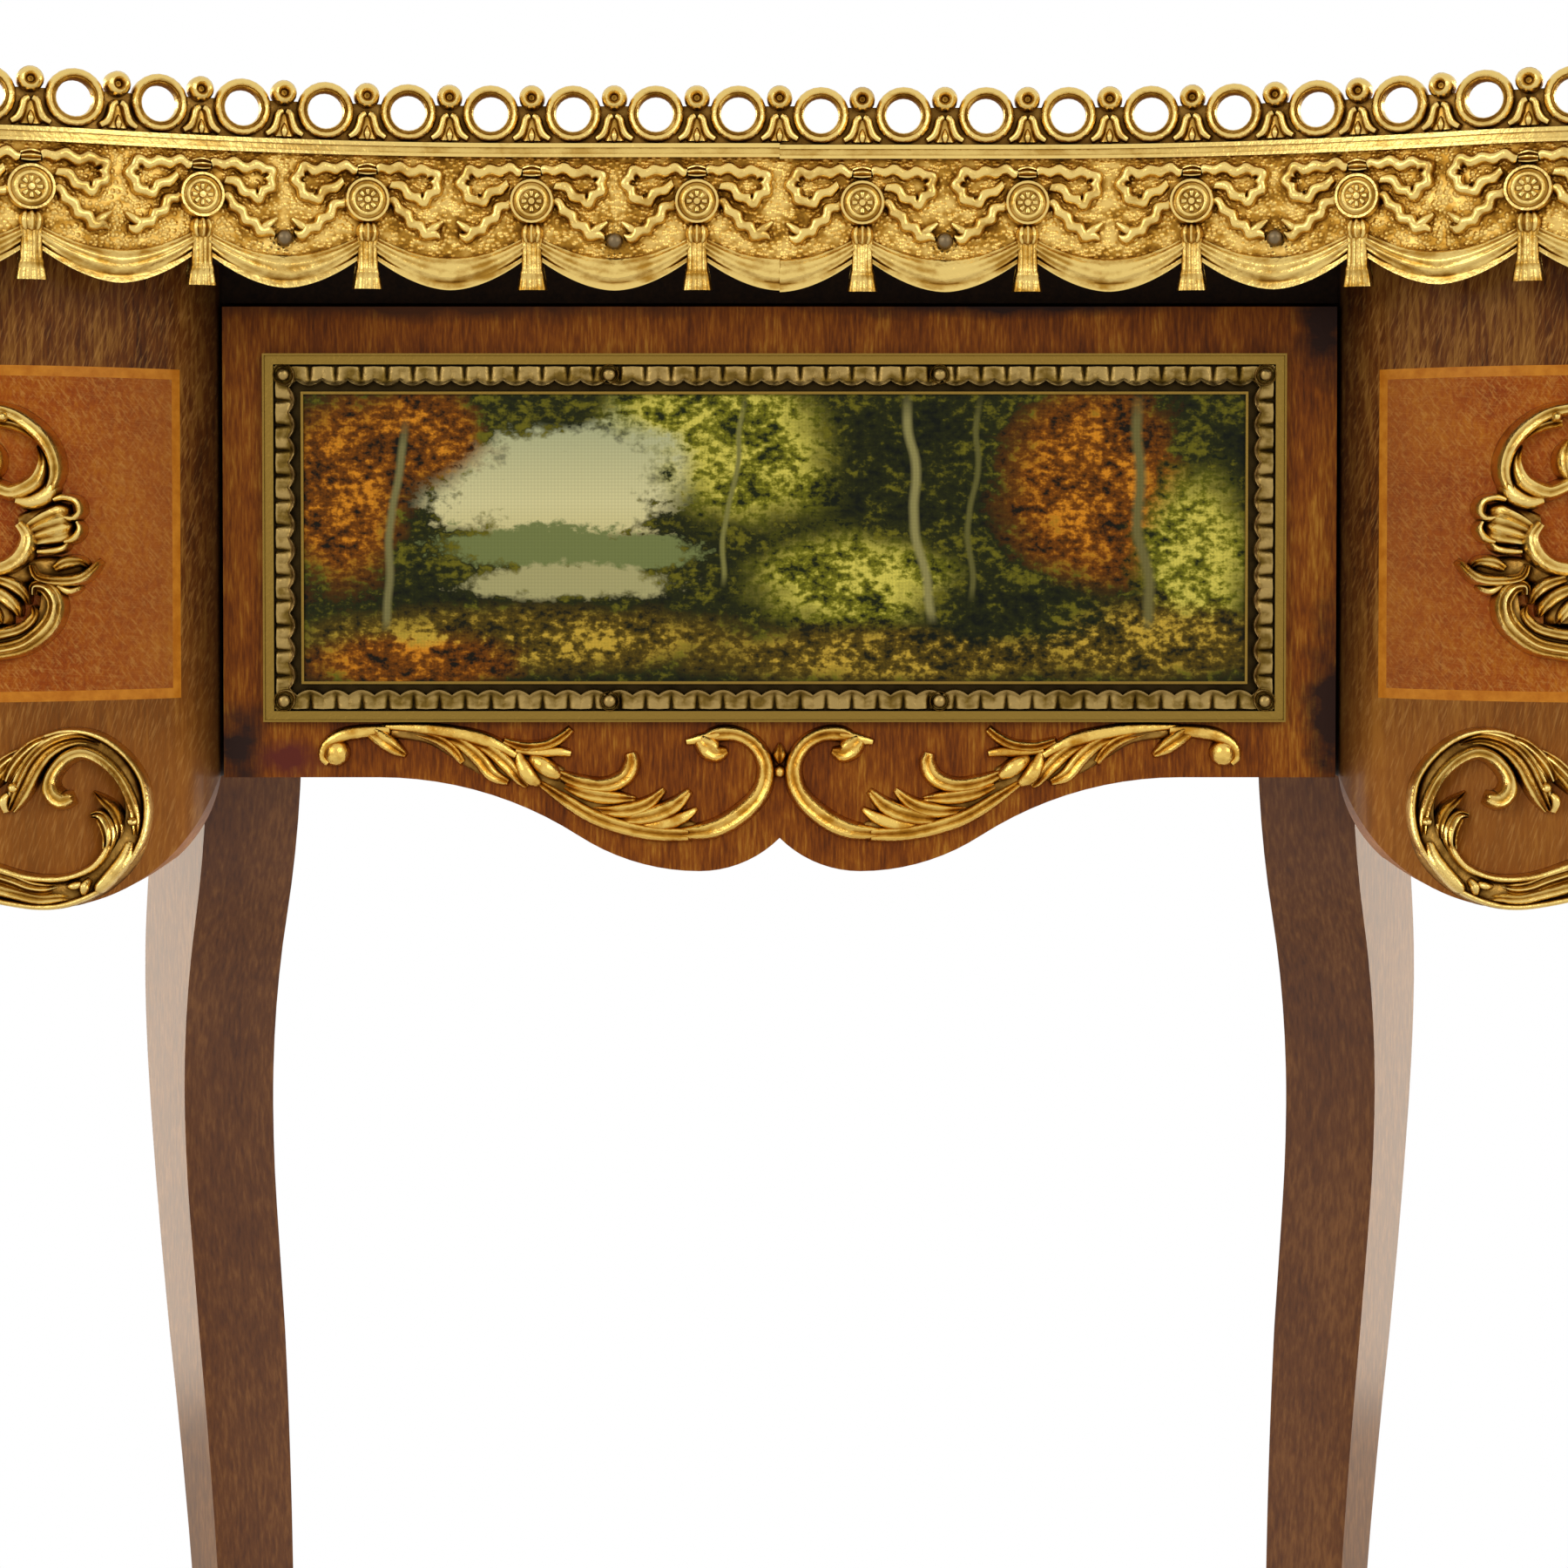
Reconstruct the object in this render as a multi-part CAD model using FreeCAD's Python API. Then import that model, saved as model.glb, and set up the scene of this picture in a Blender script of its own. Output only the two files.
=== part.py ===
import FreeCAD, Part
import os
from math import asin, atan2, copysign, cos, degrees, pi, radians, sin, sqrt

V = FreeCAD.Vector
UP = V(0, 0, 1)
ACROSS = V(1, 0, 0)

# All sizes in millimetres, angles in degrees; the front faces -Y and the floor is at Z = 0

# Body: two round lobes joined by one long back curve
body_width = 642.0
body_depth = 382.6
lobe_radius = 96.0
recess_corner_radius = 33.0
recess_corner_turn = 40.0
panel_thickness = 12.0
partition_thickness = 12.0
tongue_depth = 7.0
tongue_thickness = 4.0
tongue_inset = 8.0
back_arch_rise = 12.0
side_arch_rise = 10.0

# Top, the frame under its edge and the gallery round it
top_height = 719.0
top_board_thickness = 16.0
top_frame_thickness = 12.0
top_frame_width = 60.0
top_overhang = 12.0
front_overhang = 15.0
front_hollow_radius = 230.0

# Gallery: one repeat holds a tassel, two rings and two beads
repeat_length = 43.5
gallery_thickness = 2.0
gallery_gap = 0.6
ring_centre_rise = 10.8
ring_radius = 7.5
ring_hole_radius = 4.9
bead_centre_rise = 15.1
bead_radius = 3.7
ring_sides = 8
ring_hole_sides = 6
hem_drop = 28.4
swag_drop = 35.2
swag_belly = 0.6
tassel_neck = 4.8
tassel_foot = 7.5
pin_rise = 4.9
pin_length = 12.0
pin_shank_radius = 0.8
pin_head_radius = 1.5
pin_head_height = 0.8

# Drawer
drawer_setback = 44.0
drawer_front_height = 126.8
drawer_front_thickness = 18.0
drawer_side_gap = 1.5
drawer_top_gap = 1.5
drawer_box_depth = 212.0
drawer_lining_thickness = 10.0
drawer_bottom_thickness = 5.0
drawer_bottom_rise = 6.0
drawer_groove = 4.0
drawer_box_rise = 10.1
drawer_box_height = 112.0
drawer_back_inset = 12.0
dovetail_count = 3
dovetail_length = 12.0
dovetail_root = 20.0
dovetail_flare = 3.0

# Drawer's lower edge, an ogee with a cusp in the middle
apron_flat_from = 108.0
apron_dip = 25.4
apron_low_from = 21.7
apron_low_radius = 60.0
apron_cusp_rise = 9.0

# Lobes' lower edge and what lies on the lobes
lobe_field_offset = 18.0
lobe_dip = 31.0
lobe_low_from = 19.5
lobe_scallop_half = 55.5
lobe_cusp_rise = 8.1
stringing_width = 2.7
stringing_depth = 0.8
stringing_from_inside = 23.0
stringing_foot_rise = 23.7
stringing_height = 83.9

# Drawer's carriage
rail_height = 9.8
rail_depth = 40.0
rail_setback = 8.0
rail_tenon = 6.0
runner_width = 14.0
runner_front_gap = 4.0
running_gap = 0.3
kicker_gap = 1.0
stop_length = 12.0
stop_height = 12.0
screw_shank_radius = 2.0
screw_head_radius = 4.0
screw_head_height = 2.0
screw_grip = 8.0
head_sides = 6
shank_sides = 4
rail_screw_inset = 50.0
kicker_screw_inset = 24.0

# Legs: square cabriole, insets measured from the carcase's face, heights as shares of the free leg
front_leg_angle = 50.0
back_leg_angle = 51.0
leg_width = 37.4
post_depth = 36.0
knee_proud = 8.7
knee_share = 0.886
knee_back_inset = 17.5
knee_back_share = 0.785
calf_inset = 4.4
calf_back_inset = 26.0
calf_width = 33.6
calf_share = 0.613
ankle_inset = 22.0
ankle_back_inset = 38.0
ankle_width = 24.0
ankle_share = 0.271
toe_inset = 3.0
toe_back_inset = 25.0
toe_width = 27.0
leg_arc_tolerance = 0.8
sabot_wall = 1.0
sabot_sole = 1.5
sabot_front_height = 58.0
sabot_back_height = 34.0

# Picture on the drawer
picture_side_margin = 12.1044
picture_height = 78.8
picture_centre_rise = 64.6
picture_thickness = 1.2
picture_lap = 2.0
frame_width = 10.5
frame_fillet = 3.8
frame_fillet_height = 2.4
frame_bead_height = 3.6
frame_sight_height = 2.0
frame_pin_inset = 5.9
frame_pin_radius = 2.0
frame_pin_shank_radius = 0.7
frame_pin_length = 9.0
frame_pin_proud = 0.8

# Gilt mounts
apron_mount_relief = 4.0
lobe_mount_relief = 5.0
leaf_sides = 4
knot_sides = 6
lobe_facets = 6
cartouche_centre_rise = 66.0
cartouche_hole_radius = 8.8
scroll_half_width = 43.5
scroll_hook_x = 24.0
scroll_top_rise = 14.2
scroll_foot_drop = 29.0
scroll_thickness = 7.5
scroll_middle_rise = 9.0
scroll_middle_drop = 10.0
scroll_leaf_bow = 4.0
scroll_knot_radius = 3.6

# Half the cartouche's edge from its top to its foot, arc ends and middles: across and up from its centre
cartouche_edge = [(0, 33.0), (16.5, 26.0), (20.5, 9.0), (25.5, 8.0), (22.0, -2.0), (27.0, -4.5),
                  (29.0, -7.6), (23.5, -11.5), (21.0, -14.5), (17.0, -25.5), (0, -31.5)]

# Points of the drawer's sprig: across from the middle, up from the drawer's lower edge;
# its stem's end and volute are measured in from the picture frame's end
sprig_hook_tip = (25.5, 8.6)
sprig_hook_bow = 23.5
sprig_hook_thickness = 5.5
sprig_foot = (24.0, -15.5)
sprig_leaf_tip = (66.0, 3.1)
sprig_leaf_bow = 5.5
sprig_leaf_root = (56.0, -4.0)
sprig_stem_end = (20.6, 12.4)
sprig_stem_bow = 7.2
sprig_stem_thickness = 6.0
sprig_volute = (19.3, 9.6)
sprig_volute_radius = 4.4
sprig_knot_radius = 3.2

# Places that follow from the sizes above
least_run = 0.001
RIGHT_ANGLE = pi / 2
AHEAD = 3 * RIGHT_ANGLE
lobe_centre = V(body_width / 2 - lobe_radius, lobe_radius - body_depth / 2, 0)
back_reach = body_depth / 2 - lobe_centre.y
back_radius = (lobe_centre.x ** 2 + back_reach ** 2 - lobe_radius ** 2) / (2 * (back_reach - lobe_radius))
back_centre = V(0, body_depth / 2 - back_radius, 0)
back_start = atan2(lobe_centre.y - back_centre.y, lobe_centre.x)
corner_end = AHEAD - radians(recess_corner_turn)
corner_reach = lobe_radius - recess_corner_radius
corner_centre = lobe_centre + V(cos(corner_end), sin(corner_end), 0) * corner_reach
recess_half = corner_centre.x - recess_corner_radius

drawer_face = drawer_setback - body_depth / 2
drawer_half = recess_half - drawer_side_gap
top_front = drawer_face - front_overhang
frame_underside = top_height - top_board_thickness - top_frame_thickness
opening_top = frame_underside - rail_height
drawer_top = opening_top - drawer_top_gap
body_foot = drawer_top - drawer_front_height
box_foot = body_foot + drawer_box_rise
box_top = box_foot + drawer_box_height
box_start = drawer_face + drawer_front_thickness
box_end = box_start + drawer_box_depth
lining_inside = drawer_half - drawer_lining_thickness
frame_half = drawer_half - picture_side_margin
picture_width = 2 * (frame_half - frame_width)
lobe_field_x = lobe_centre.x - lobe_field_offset
knee_height = body_foot * knee_share
knee_back_height = body_foot * knee_back_share
calf_height = body_foot * calf_share
ankle_height = body_foot * ankle_share

edge_radius = lobe_radius + top_overhang
hollow_lift = lobe_centre.y - top_front + front_hollow_radius
hollow_x = lobe_centre.x - sqrt((edge_radius + front_hollow_radius) ** 2 - hollow_lift ** 2)
hollow_turn = atan2(lobe_centre.x - hollow_x, hollow_lift)


class Stretch:
    """A round or straight stretch of an outline, walked with the outside on the right.

    A positive radius bulges outwards, a negative one is hollow, and None is straight.
    """

    def __init__(self, centre, radius, facing, length):
        self.centre = centre
        self.radius = radius
        self.facing = facing
        self.length = length

    def outward(self, run):
        turn = run / self.radius if self.radius else 0
        return V(cos(self.facing + turn), sin(self.facing + turn), 0)

    def point(self, run, out):
        if self.radius:
            return self.centre + self.outward(run) * (self.radius + out)
        along = V(-sin(self.facing), cos(self.facing), 0)
        return self.centre + along * run + self.outward(run) * out

    def edge(self, start, end, out):
        if self.radius:
            middle = self.point((start + end) / 2, out)
            return Part.Arc(self.point(start, out), middle, self.point(end, out)).toShape()
        return Part.makeLine(self.point(start, out), self.point(end, out))


class Outline:
    """Tangent stretches in a row; a place on it is a run from its start and an offset outwards."""

    def __init__(self, *stretches):
        self.stretches = stretches
        self.length = sum(stretch.length for stretch in stretches)

    def locate(self, run):
        for stretch in self.stretches[:-1]:
            if run <= stretch.length:
                return stretch, run
            run -= stretch.length
        return self.stretches[-1], run

    def point(self, run, out):
        stretch, rest = self.locate(run)
        return stretch.point(rest, out)

    def outward(self, run):
        stretch, rest = self.locate(run)
        return stretch.outward(rest)

    def edges(self, start, end, out):
        found = []
        passed = 0
        for stretch in self.stretches:
            first = max(start - passed, 0)
            last = min(end - passed, stretch.length)
            if last - first > least_run:
                found.append(stretch.edge(first, last, out))
            passed += stretch.length
        return found

    def wall(self, start, end, inner, outer, low, high):
        """Upright wall between two offsets of the outline."""
        closing = [Part.makeLine(self.point(run, inner), self.point(run, outer)) for run in (start, end)]
        edges = self.edges(start, end, inner) + self.edges(start, end, outer) + closing
        return raised(Part.Wire(Part.sortEdges(edges)[0]), low, high)


def raised(wire, low, high):
    """Upright solid over a flat closed wire."""
    face = Part.Face(wire)
    face.translate(UP * low)
    return face.extrude(UP * (high - low))


def block(low, high):
    """Box between two corners."""
    size = high - low
    return Part.makeBox(size.x, size.y, size.z, low)


def mirrored(shape):
    return shape.mirror(V(), ACROSS)


def corners_round(radius, sides):
    """Corners of a regular outline about the Z axis, flat side down."""
    turn = 2 * pi / sides
    turns = [turn * (place + 0.5) for place in range(sides)]
    return [V(radius * cos(turn), radius * sin(turn), 0) for turn in turns]


def rod(radius, sides, base, axis, length):
    """Faceted rod for heads and shanks of the small fastenings."""
    corners = corners_round(radius, sides)
    form = Part.Face(Part.makePolygon(corners + corners[:1])).extrude(UP * length)
    form.rotate(V(), UP.cross(axis) if UP.cross(axis).Length else ACROSS, degrees(UP.getAngle(axis)))
    form.translate(base)
    return form


def joined(shapes):
    """One shape from many that touch."""
    return shapes[0].multiFuse(shapes[1:]).removeSplitter() if len(shapes) > 1 else shapes[0]


def level_arc(start, end):
    """Upright arc that leaves its start level and bends to its end."""
    across = end.x - start.x
    rise = end.z - start.z
    radius = (across ** 2 + rise ** 2) / (2 * abs(rise))
    turn = 2 * atan2(abs(rise), abs(across))
    half_across = copysign(radius * sin(turn / 2), across)
    half_rise = copysign(radius * (1 - cos(turn / 2)), rise)
    return Part.Arc(start, start + V(half_across, 0, half_rise), end).toShape()


def upright_face(edges):
    return Part.Face(Part.Wire(Part.sortEdges(edges)[0]))


# Outlines of the body and the top, right half, from the recess or the front's middle to the back's

corner = Stretch(corner_centre, recess_corner_radius, pi, recess_corner_radius * (corner_end - pi))
lobe = Stretch(lobe_centre, lobe_radius, corner_end, lobe_radius * (2 * pi + back_start - corner_end))
back = Stretch(back_centre, back_radius, back_start, back_radius * (RIGHT_ANGLE - back_start))
body_outline = Outline(corner, lobe, back)

hollow_end = AHEAD - hollow_turn
top_outline = Outline(
    Stretch(V(0, top_front, 0), None, AHEAD, hollow_x),
    Stretch(V(hollow_x, top_front - front_hollow_radius, 0), -front_hollow_radius, AHEAD,
            front_hollow_radius * hollow_turn),
    Stretch(lobe_centre, edge_radius, hollow_end, edge_radius * (2 * pi + back_start - hollow_end)),
    Stretch(back_centre, back_radius + top_overhang, back_start,
            (back_radius + top_overhang) * (RIGHT_ANGLE - back_start)))

front_leg_facing = AHEAD + radians(front_leg_angle)
front_leg_run = corner.length + lobe_radius * (front_leg_facing - corner_end)
back_leg_facing = radians(back_leg_angle)
back_leg_run = corner.length + lobe.length + back_radius * (back_leg_facing - back_start)


# Top

def kidney(offset, low, high):
    """Kidney-shaped board, its edge offset from the top's own."""
    half = top_outline.edges(0, top_outline.length, offset)
    edges = half + [mirrored(edge) for edge in half]
    return raised(Part.Wire(Part.sortEdges(edges)[0]), low, high)


def top_screw_places():
    rail_middle = drawer_face + rail_setback + rail_depth / 2
    rail_x = recess_half - rail_screw_inset
    kicker_x = recess_half - runner_width / 2
    rear = back_inner_y(kicker_x) - kicker_screw_inset
    return [V(rail_x, rail_middle, opening_top), V(kicker_x, rear, box_top + kicker_gap)]


def top_screws():
    """Wood screws up through the rail and the kickers into the top, heads let in."""
    screws = []
    for place in top_screw_places():
        length = top_height - top_board_thickness + screw_grip - place.z
        shank = rod(screw_shank_radius, shank_sides, place, UP, length)
        head = rod(screw_head_radius, head_sides, place, UP, screw_head_height)
        screw = joined([shank, head])
        screws += [screw, mirrored(screw)]
    return Part.makeCompound(screws)


# Gallery

repeat_count = round(2 * top_outline.length / repeat_length)
repeat = 2 * top_outline.length / repeat_count
unit = repeat / 2
front_strip_units = 2 * round(repeat_count / 4)
ring_centre = top_height + ring_centre_rise
gallery_top = top_height + max(ring_centre_rise + ring_radius, bead_centre_rise + bead_radius)
swag_foot = top_height - swag_drop
hem = top_height - hem_drop


def disc(radius, sides, along, height):
    """Faceted disc in the gallery's own plane."""
    return flat([(along + corner.x, height + corner.y) for corner in corners_round(radius, sides)])


def flat(points):
    """Flat face in the gallery's own plane, from (along, height) pairs."""
    corners = [V(0, along, height) for along, height in points]
    return Part.Face(Part.makePolygon(corners + corners[:1]))


def ring_unit():
    """Pierced block of one ring between two beads, facing +X: a tassel, then half a swag."""
    half = unit / 2
    reach = half + gallery_thickness
    neck = tassel_neck / 2 - half
    foot = tassel_foot / 2 - half
    belly = neck + (half - neck) * swag_belly
    crown = half - bead_radius / 2
    bead_top = top_height + bead_centre_rise + bead_radius
    ring = [(corner.x, ring_centre + corner.y) for corner in corners_round(ring_radius, ring_sides)]
    edge = [(-reach, swag_foot), (foot, swag_foot), (neck, hem), (belly, swag_foot), (reach, swag_foot),
            (reach, bead_top), (crown, bead_top)]
    edge += ring[:ring_sides // 2] + [(-crown, bead_top), (-reach, bead_top)]
    through = ACROSS * 4 * gallery_thickness
    hole = disc(ring_hole_radius, ring_hole_sides, 0, ring_centre)
    form = flat(edge).extrude(through).cut(hole.extrude(through))
    form.translate(ACROSS * -gallery_thickness)
    return form


def facing_out(shape, run, out):
    """Set a shape that faces +X at the origin on the top's edge, facing outwards."""
    outward = top_outline.outward(run)
    placed = shape.copy()
    placed.rotate(V(), UP, degrees(atan2(outward.y, outward.x)))
    placed.translate(top_outline.point(run, out))
    return placed


def facet(start, end, inner, outer, low, high):
    """Flat piece of wall between two places on the top's edge."""
    places = ((start, inner), (end, inner), (end, outer), (start, outer))
    corners = [top_outline.point(run, out) for run, out in places]
    return raised(Part.makePolygon(corners + corners[:1]), low, high)


def gallery_strip(first, last):
    """Strip of the gallery round the top's edge, a flat piece for each ring from one count to another."""
    rising = ring_unit()
    falling = rising.mirror(V(), V(0, 1, 0))
    outer = gallery_gap + gallery_thickness
    pieces = []
    for count in range(first, last):
        start = count * unit
        form = facing_out(rising if count % 2 else falling, start + unit / 2, gallery_gap)
        pieces.append(facet(start, start + unit, gallery_gap, outer, swag_foot, gallery_top).common(form))
    return joined(pieces)


def gallery_pins():
    """Round-headed nails in the middle of every other swag."""
    head = rod(pin_head_radius, head_sides, V(), ACROSS, pin_head_height)
    shank = rod(pin_shank_radius, shank_sides, V(-pin_length, 0, 0), ACROSS, pin_length)
    pin = joined([head, shank])
    pin.translate(UP * (frame_underside + pin_rise))
    pins = []
    run = repeat
    while run < top_outline.length:
        placed = facing_out(pin, run, gallery_gap + gallery_thickness)
        pins += [placed, mirrored(placed)]
        run += 2 * repeat
    return Part.makeCompound(pins)


# Carcase

def back_inner_y(x):
    """Where the inner face of the back lies at a given X."""
    return back_centre.y + sqrt((back_radius - panel_thickness) ** 2 - x ** 2)


def at_leg(shape, stretch, facing):
    """Turn a shape that stands ahead of the origin on +X to a leg's place on its curve."""
    placed = shape.copy()
    placed.rotate(V(), UP, degrees(facing))
    placed.translate(stretch.centre)
    return placed


def post_slot(stretch, facing, width):
    """Room for a leg's post, straight through the carcase's wall."""
    low = V(stretch.radius - 2 * post_depth, -width / 2, 0)
    high = V(stretch.radius + post_depth, width / 2, top_height)
    return at_leg(block(low, high), stretch, facing)


def panel(outline, start, end, legs):
    """Bowed panel between posts, with a tongue into each of them."""
    body = outline.wall(start, end, -panel_thickness, 0, 0, frame_underside)
    tongue_foot = body_foot + tongue_depth + max(back_arch_rise, side_arch_rise)
    tongue_inner = -tongue_inset
    tongue = outline.wall(start, end, tongue_inner, tongue_inner + tongue_thickness, tongue_foot,
                          frame_underside - tongue_depth)
    for stretch, facing in legs:
        body = body.cut(post_slot(stretch, facing, leg_width))
        tongue = tongue.cut(post_slot(stretch, facing, leg_width - 2 * tongue_depth))
    return joined([largest(body), largest(tongue)])


def largest(shape):
    return max(shape.Solids, key=lambda solid: solid.Volume)


def below(edges, low_corners, direction):
    """Everything under a shaped lower edge, right through the carcase."""
    runs = [Part.makeLine(a, b) for a, b in zip(low_corners, low_corners[1:])]
    face = upright_face(edges + runs)
    return face.extrude(direction)


def lobe_edge_cut():
    """What is sawn away under the lobe: two drops with a cusp between, straight beyond."""
    cusp = V(lobe_field_x, 0, body_foot - lobe_dip + lobe_cusp_rise)
    left = V(lobe_field_x - lobe_scallop_half, 0, body_foot)
    right = V(lobe_field_x + lobe_scallop_half, 0, body_foot)
    edges = []
    for end, side in ((left, -1), (right, 1)):
        low = V(lobe_field_x + side * lobe_low_from, 0, body_foot - lobe_dip)
        edges += [level_arc(low, cusp), level_arc(low, end)]
    outer = V(body_width, 0, body_foot)
    corners = [left, V(0, 0, body_foot), V(0, 0, 0), V(body_width, 0, 0), outer, right]
    cut = below(edges, corners, V(0, body_depth, 0))
    cut.translate(V(0, -body_depth, 0))
    return cut


def arch_cut(half_span, rise):
    """What is sawn away under a shallow arch across X, right through along Y."""
    crown = V(0, 0, body_foot + rise)
    ends = [V(side * half_span, 0, body_foot) for side in (-1, 1)]
    edges = [level_arc(crown, end) for end in ends]
    corners = [ends[0], V(-half_span, 0, 0), V(half_span, 0, 0), ends[1]]
    cut = below(edges, corners, V(0, 2 * body_depth, 0))
    cut.translate(V(0, -body_depth, 0))
    return cut


def lobe_panel():
    body = panel(body_outline, 0, front_leg_run, [(lobe, front_leg_facing)])
    return body.cut([lobe_edge_cut(), stringing()])


def side_panel():
    legs = [(lobe, front_leg_facing), (back, back_leg_facing)]
    body = panel(body_outline, front_leg_run, back_leg_run, legs)
    front_end = body_outline.point(front_leg_run, 0).y
    rear_end = body_outline.point(back_leg_run, 0).y
    cut = arch_cut((rear_end - front_end) / 2, side_arch_rise)
    cut.rotate(V(), UP, degrees(RIGHT_ANGLE))
    cut.translate(V(body_depth, (front_end + rear_end) / 2, 0))
    return body.cut(cut)


def back_panel():
    whole = Stretch(back_centre, back_radius, back_leg_facing, back_radius * (pi - 2 * back_leg_facing))
    outline = Outline(whole)
    body = panel(outline, 0, whole.length, [(back, back_leg_facing), (back, pi - back_leg_facing)])
    return body.cut(arch_cut(back_radius * cos(back_leg_facing), back_arch_rise))


def partition():
    """Wall of the drawer's recess, from the lobe's corner to the back."""
    low = V(recess_half, corner_centre.y, body_foot)
    high = V(recess_half + partition_thickness, body_depth / 2, frame_underside)
    inside_back = Part.makeCylinder(back_radius - panel_thickness, top_height, back_centre)
    return block(low, high).common(inside_back).cut(front_rail())


def stringing():
    """Light band let into the lobe's face as a rectangle."""
    low = body_foot + stringing_foot_rise
    high = low + stringing_height
    start = stringing_from_inside
    field_run = corner.length + lobe_radius * (AHEAD - asin(lobe_field_offset / lobe_radius) - corner_end)
    end = 2 * field_run - start
    half = stringing_width / 2
    outer = body_outline.wall(start - half, end + half, -stringing_depth, 0, low - half, high + half)
    inner = body_outline.wall(start + half, end - half, -2 * stringing_depth, stringing_depth,
                              low + half, high - half)
    return outer.cut(inner)


# Legs and their shoes

def smooth(points, start, grow=0):
    """Arcs in a row through (across, height) points in the XZ plane, leaving straight down."""
    curve = Part.BSplineCurve()
    places = [V(start + across + grow, 0, height) for across, height in points]
    last_run = (places[-1] - places[-2]).normalize()
    curve.interpolate(Points=places, InitialTangent=UP * -1, FinalTangent=last_run)
    return [arc.toShape() for arc in curve.toBiArcs(leg_arc_tolerance)]


def leg_form(stretch, facing, grow):
    """Cabriole leg: its side view right across, cut to its front view."""
    outer = [(0, body_foot), (knee_proud, knee_height), (-calf_inset, calf_height),
             (-ankle_inset, ankle_height), (-toe_inset, 0)]
    inner = [(-post_depth, body_foot), (-knee_back_inset, knee_back_height),
             (-calf_back_inset, calf_height), (-ankle_back_inset, ankle_height), (-toe_back_inset, 0)]
    radius = stretch.radius
    outer_top = V(radius + grow, 0, frame_underside)
    inner_top = V(radius - post_depth - grow, 0, frame_underside)
    toe = V(radius - toe_inset + grow, 0, 0)
    heel = V(radius - toe_back_inset - grow, 0, 0)
    side_edges = smooth(outer, radius, grow) + smooth(inner, radius, -grow)
    side_edges += [Part.makeLine(outer_top, inner_top), Part.makeLine(toe, heel),
                   Part.makeLine(outer_top, V(outer_top.x, 0, body_foot)),
                   Part.makeLine(inner_top, V(inner_top.x, 0, body_foot))]
    side_view = upright_face(side_edges)
    side_view.translate(V(0, -leg_width, 0))
    side_block = side_view.extrude(V(0, 2 * leg_width, 0))
    widths = [(leg_width, frame_underside), (leg_width, body_foot), (calf_width, calf_height),
              (ankle_width, ankle_height), (toe_width, 0)]
    right = [V(width / 2 + grow, 0, height) for width, height in widths]
    left = [V(-corner.x, 0, corner.z) for corner in reversed(right)]
    front_view = Part.Face(Part.makePolygon(right + left + right[:1]))
    front_view.rotate(V(), UP, degrees(RIGHT_ANGLE))
    front_block = front_view.extrude(ACROSS * (radius + 2 * post_depth))
    return at_leg(side_block.common(front_block), stretch, facing)


def leg(stretch, facing, panels):
    whole = leg_form(stretch, facing, 0)
    sole = block(V(-body_width, -body_width, 0), V(body_width, body_width, sabot_sole))
    return largest(whole.cut([sole] + panels))


def sabot(stretch, facing, foot):
    """Brass shoe round the foot, its top edge higher at the toe than at the heel."""
    reach = 2 * post_depth
    heel = stretch.radius - reach
    toe = stretch.radius + reach
    corners = [V(heel, -reach, 0), V(toe, -reach, 0), V(toe, -reach, sabot_front_height),
               V(stretch.radius - toe_inset, -reach, sabot_front_height),
               V(stretch.radius - ankle_back_inset, -reach, sabot_back_height),
               V(heel, -reach, sabot_back_height)]
    slice_face = Part.Face(Part.makePolygon(corners + corners[:1]))
    slice_block = at_leg(slice_face.extrude(V(0, 2 * reach, 0)), stretch, facing)
    return leg_form(stretch, facing, sabot_wall).common(slice_block).cut(foot)


# What carries the drawer

def front_rail():
    low = V(-recess_half - rail_tenon, drawer_face + rail_setback, opening_top)
    return block(low, V(recess_half + rail_tenon, low.y + rail_depth, frame_underside))


def lengthwise(width, start, low, high):
    """Square strip along the partition, from a given Y to the inner face of the back."""
    strip = block(V(recess_half - width, start, low), V(recess_half, body_depth / 2, high))
    inside_back = Part.makeCylinder(back_radius - panel_thickness, top_height, back_centre)
    return strip.common(inside_back)


def runner():
    return lengthwise(runner_width, box_start + runner_front_gap, body_foot, box_foot - running_gap)


def kicker():
    start = drawer_face + rail_setback + rail_depth
    return lengthwise(runner_width, start, box_top + kicker_gap, frame_underside)


def drawer_stop():
    low = V(recess_half - runner_width, box_end + running_gap, box_foot - running_gap)
    return block(low, low + V(runner_width, stop_length, stop_height))


# Drawer

def drawer_front_blank():
    """Front board with the apron's ogee and cusp along its lower edge."""
    low_z = body_foot - apron_dip
    cusp = V(0, 0, low_z + apron_cusp_rise)
    span = apron_flat_from - apron_low_from
    both_radii = (span ** 2 + apron_dip ** 2) / (2 * apron_dip)
    share = apron_low_radius / both_radii
    edges = []
    for side in (-1, 1):
        low = V(side * apron_low_from, 0, low_z)
        level = V(side * apron_flat_from, 0, body_foot)
        bend = low + (level - low) * share
        foot = V(side * drawer_half, 0, body_foot)
        edges += [level_arc(low, cusp), level_arc(low, bend), level_arc(level, bend)]
        edges += [Part.makeLine(level, foot), Part.makeLine(foot, V(side * drawer_half, 0, drawer_top))]
    edges.append(Part.makeLine(V(-drawer_half, 0, drawer_top), V(drawer_half, 0, drawer_top)))
    face = upright_face(edges)
    face.translate(V(0, drawer_face, 0))
    return face.extrude(V(0, drawer_front_thickness, 0))


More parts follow.
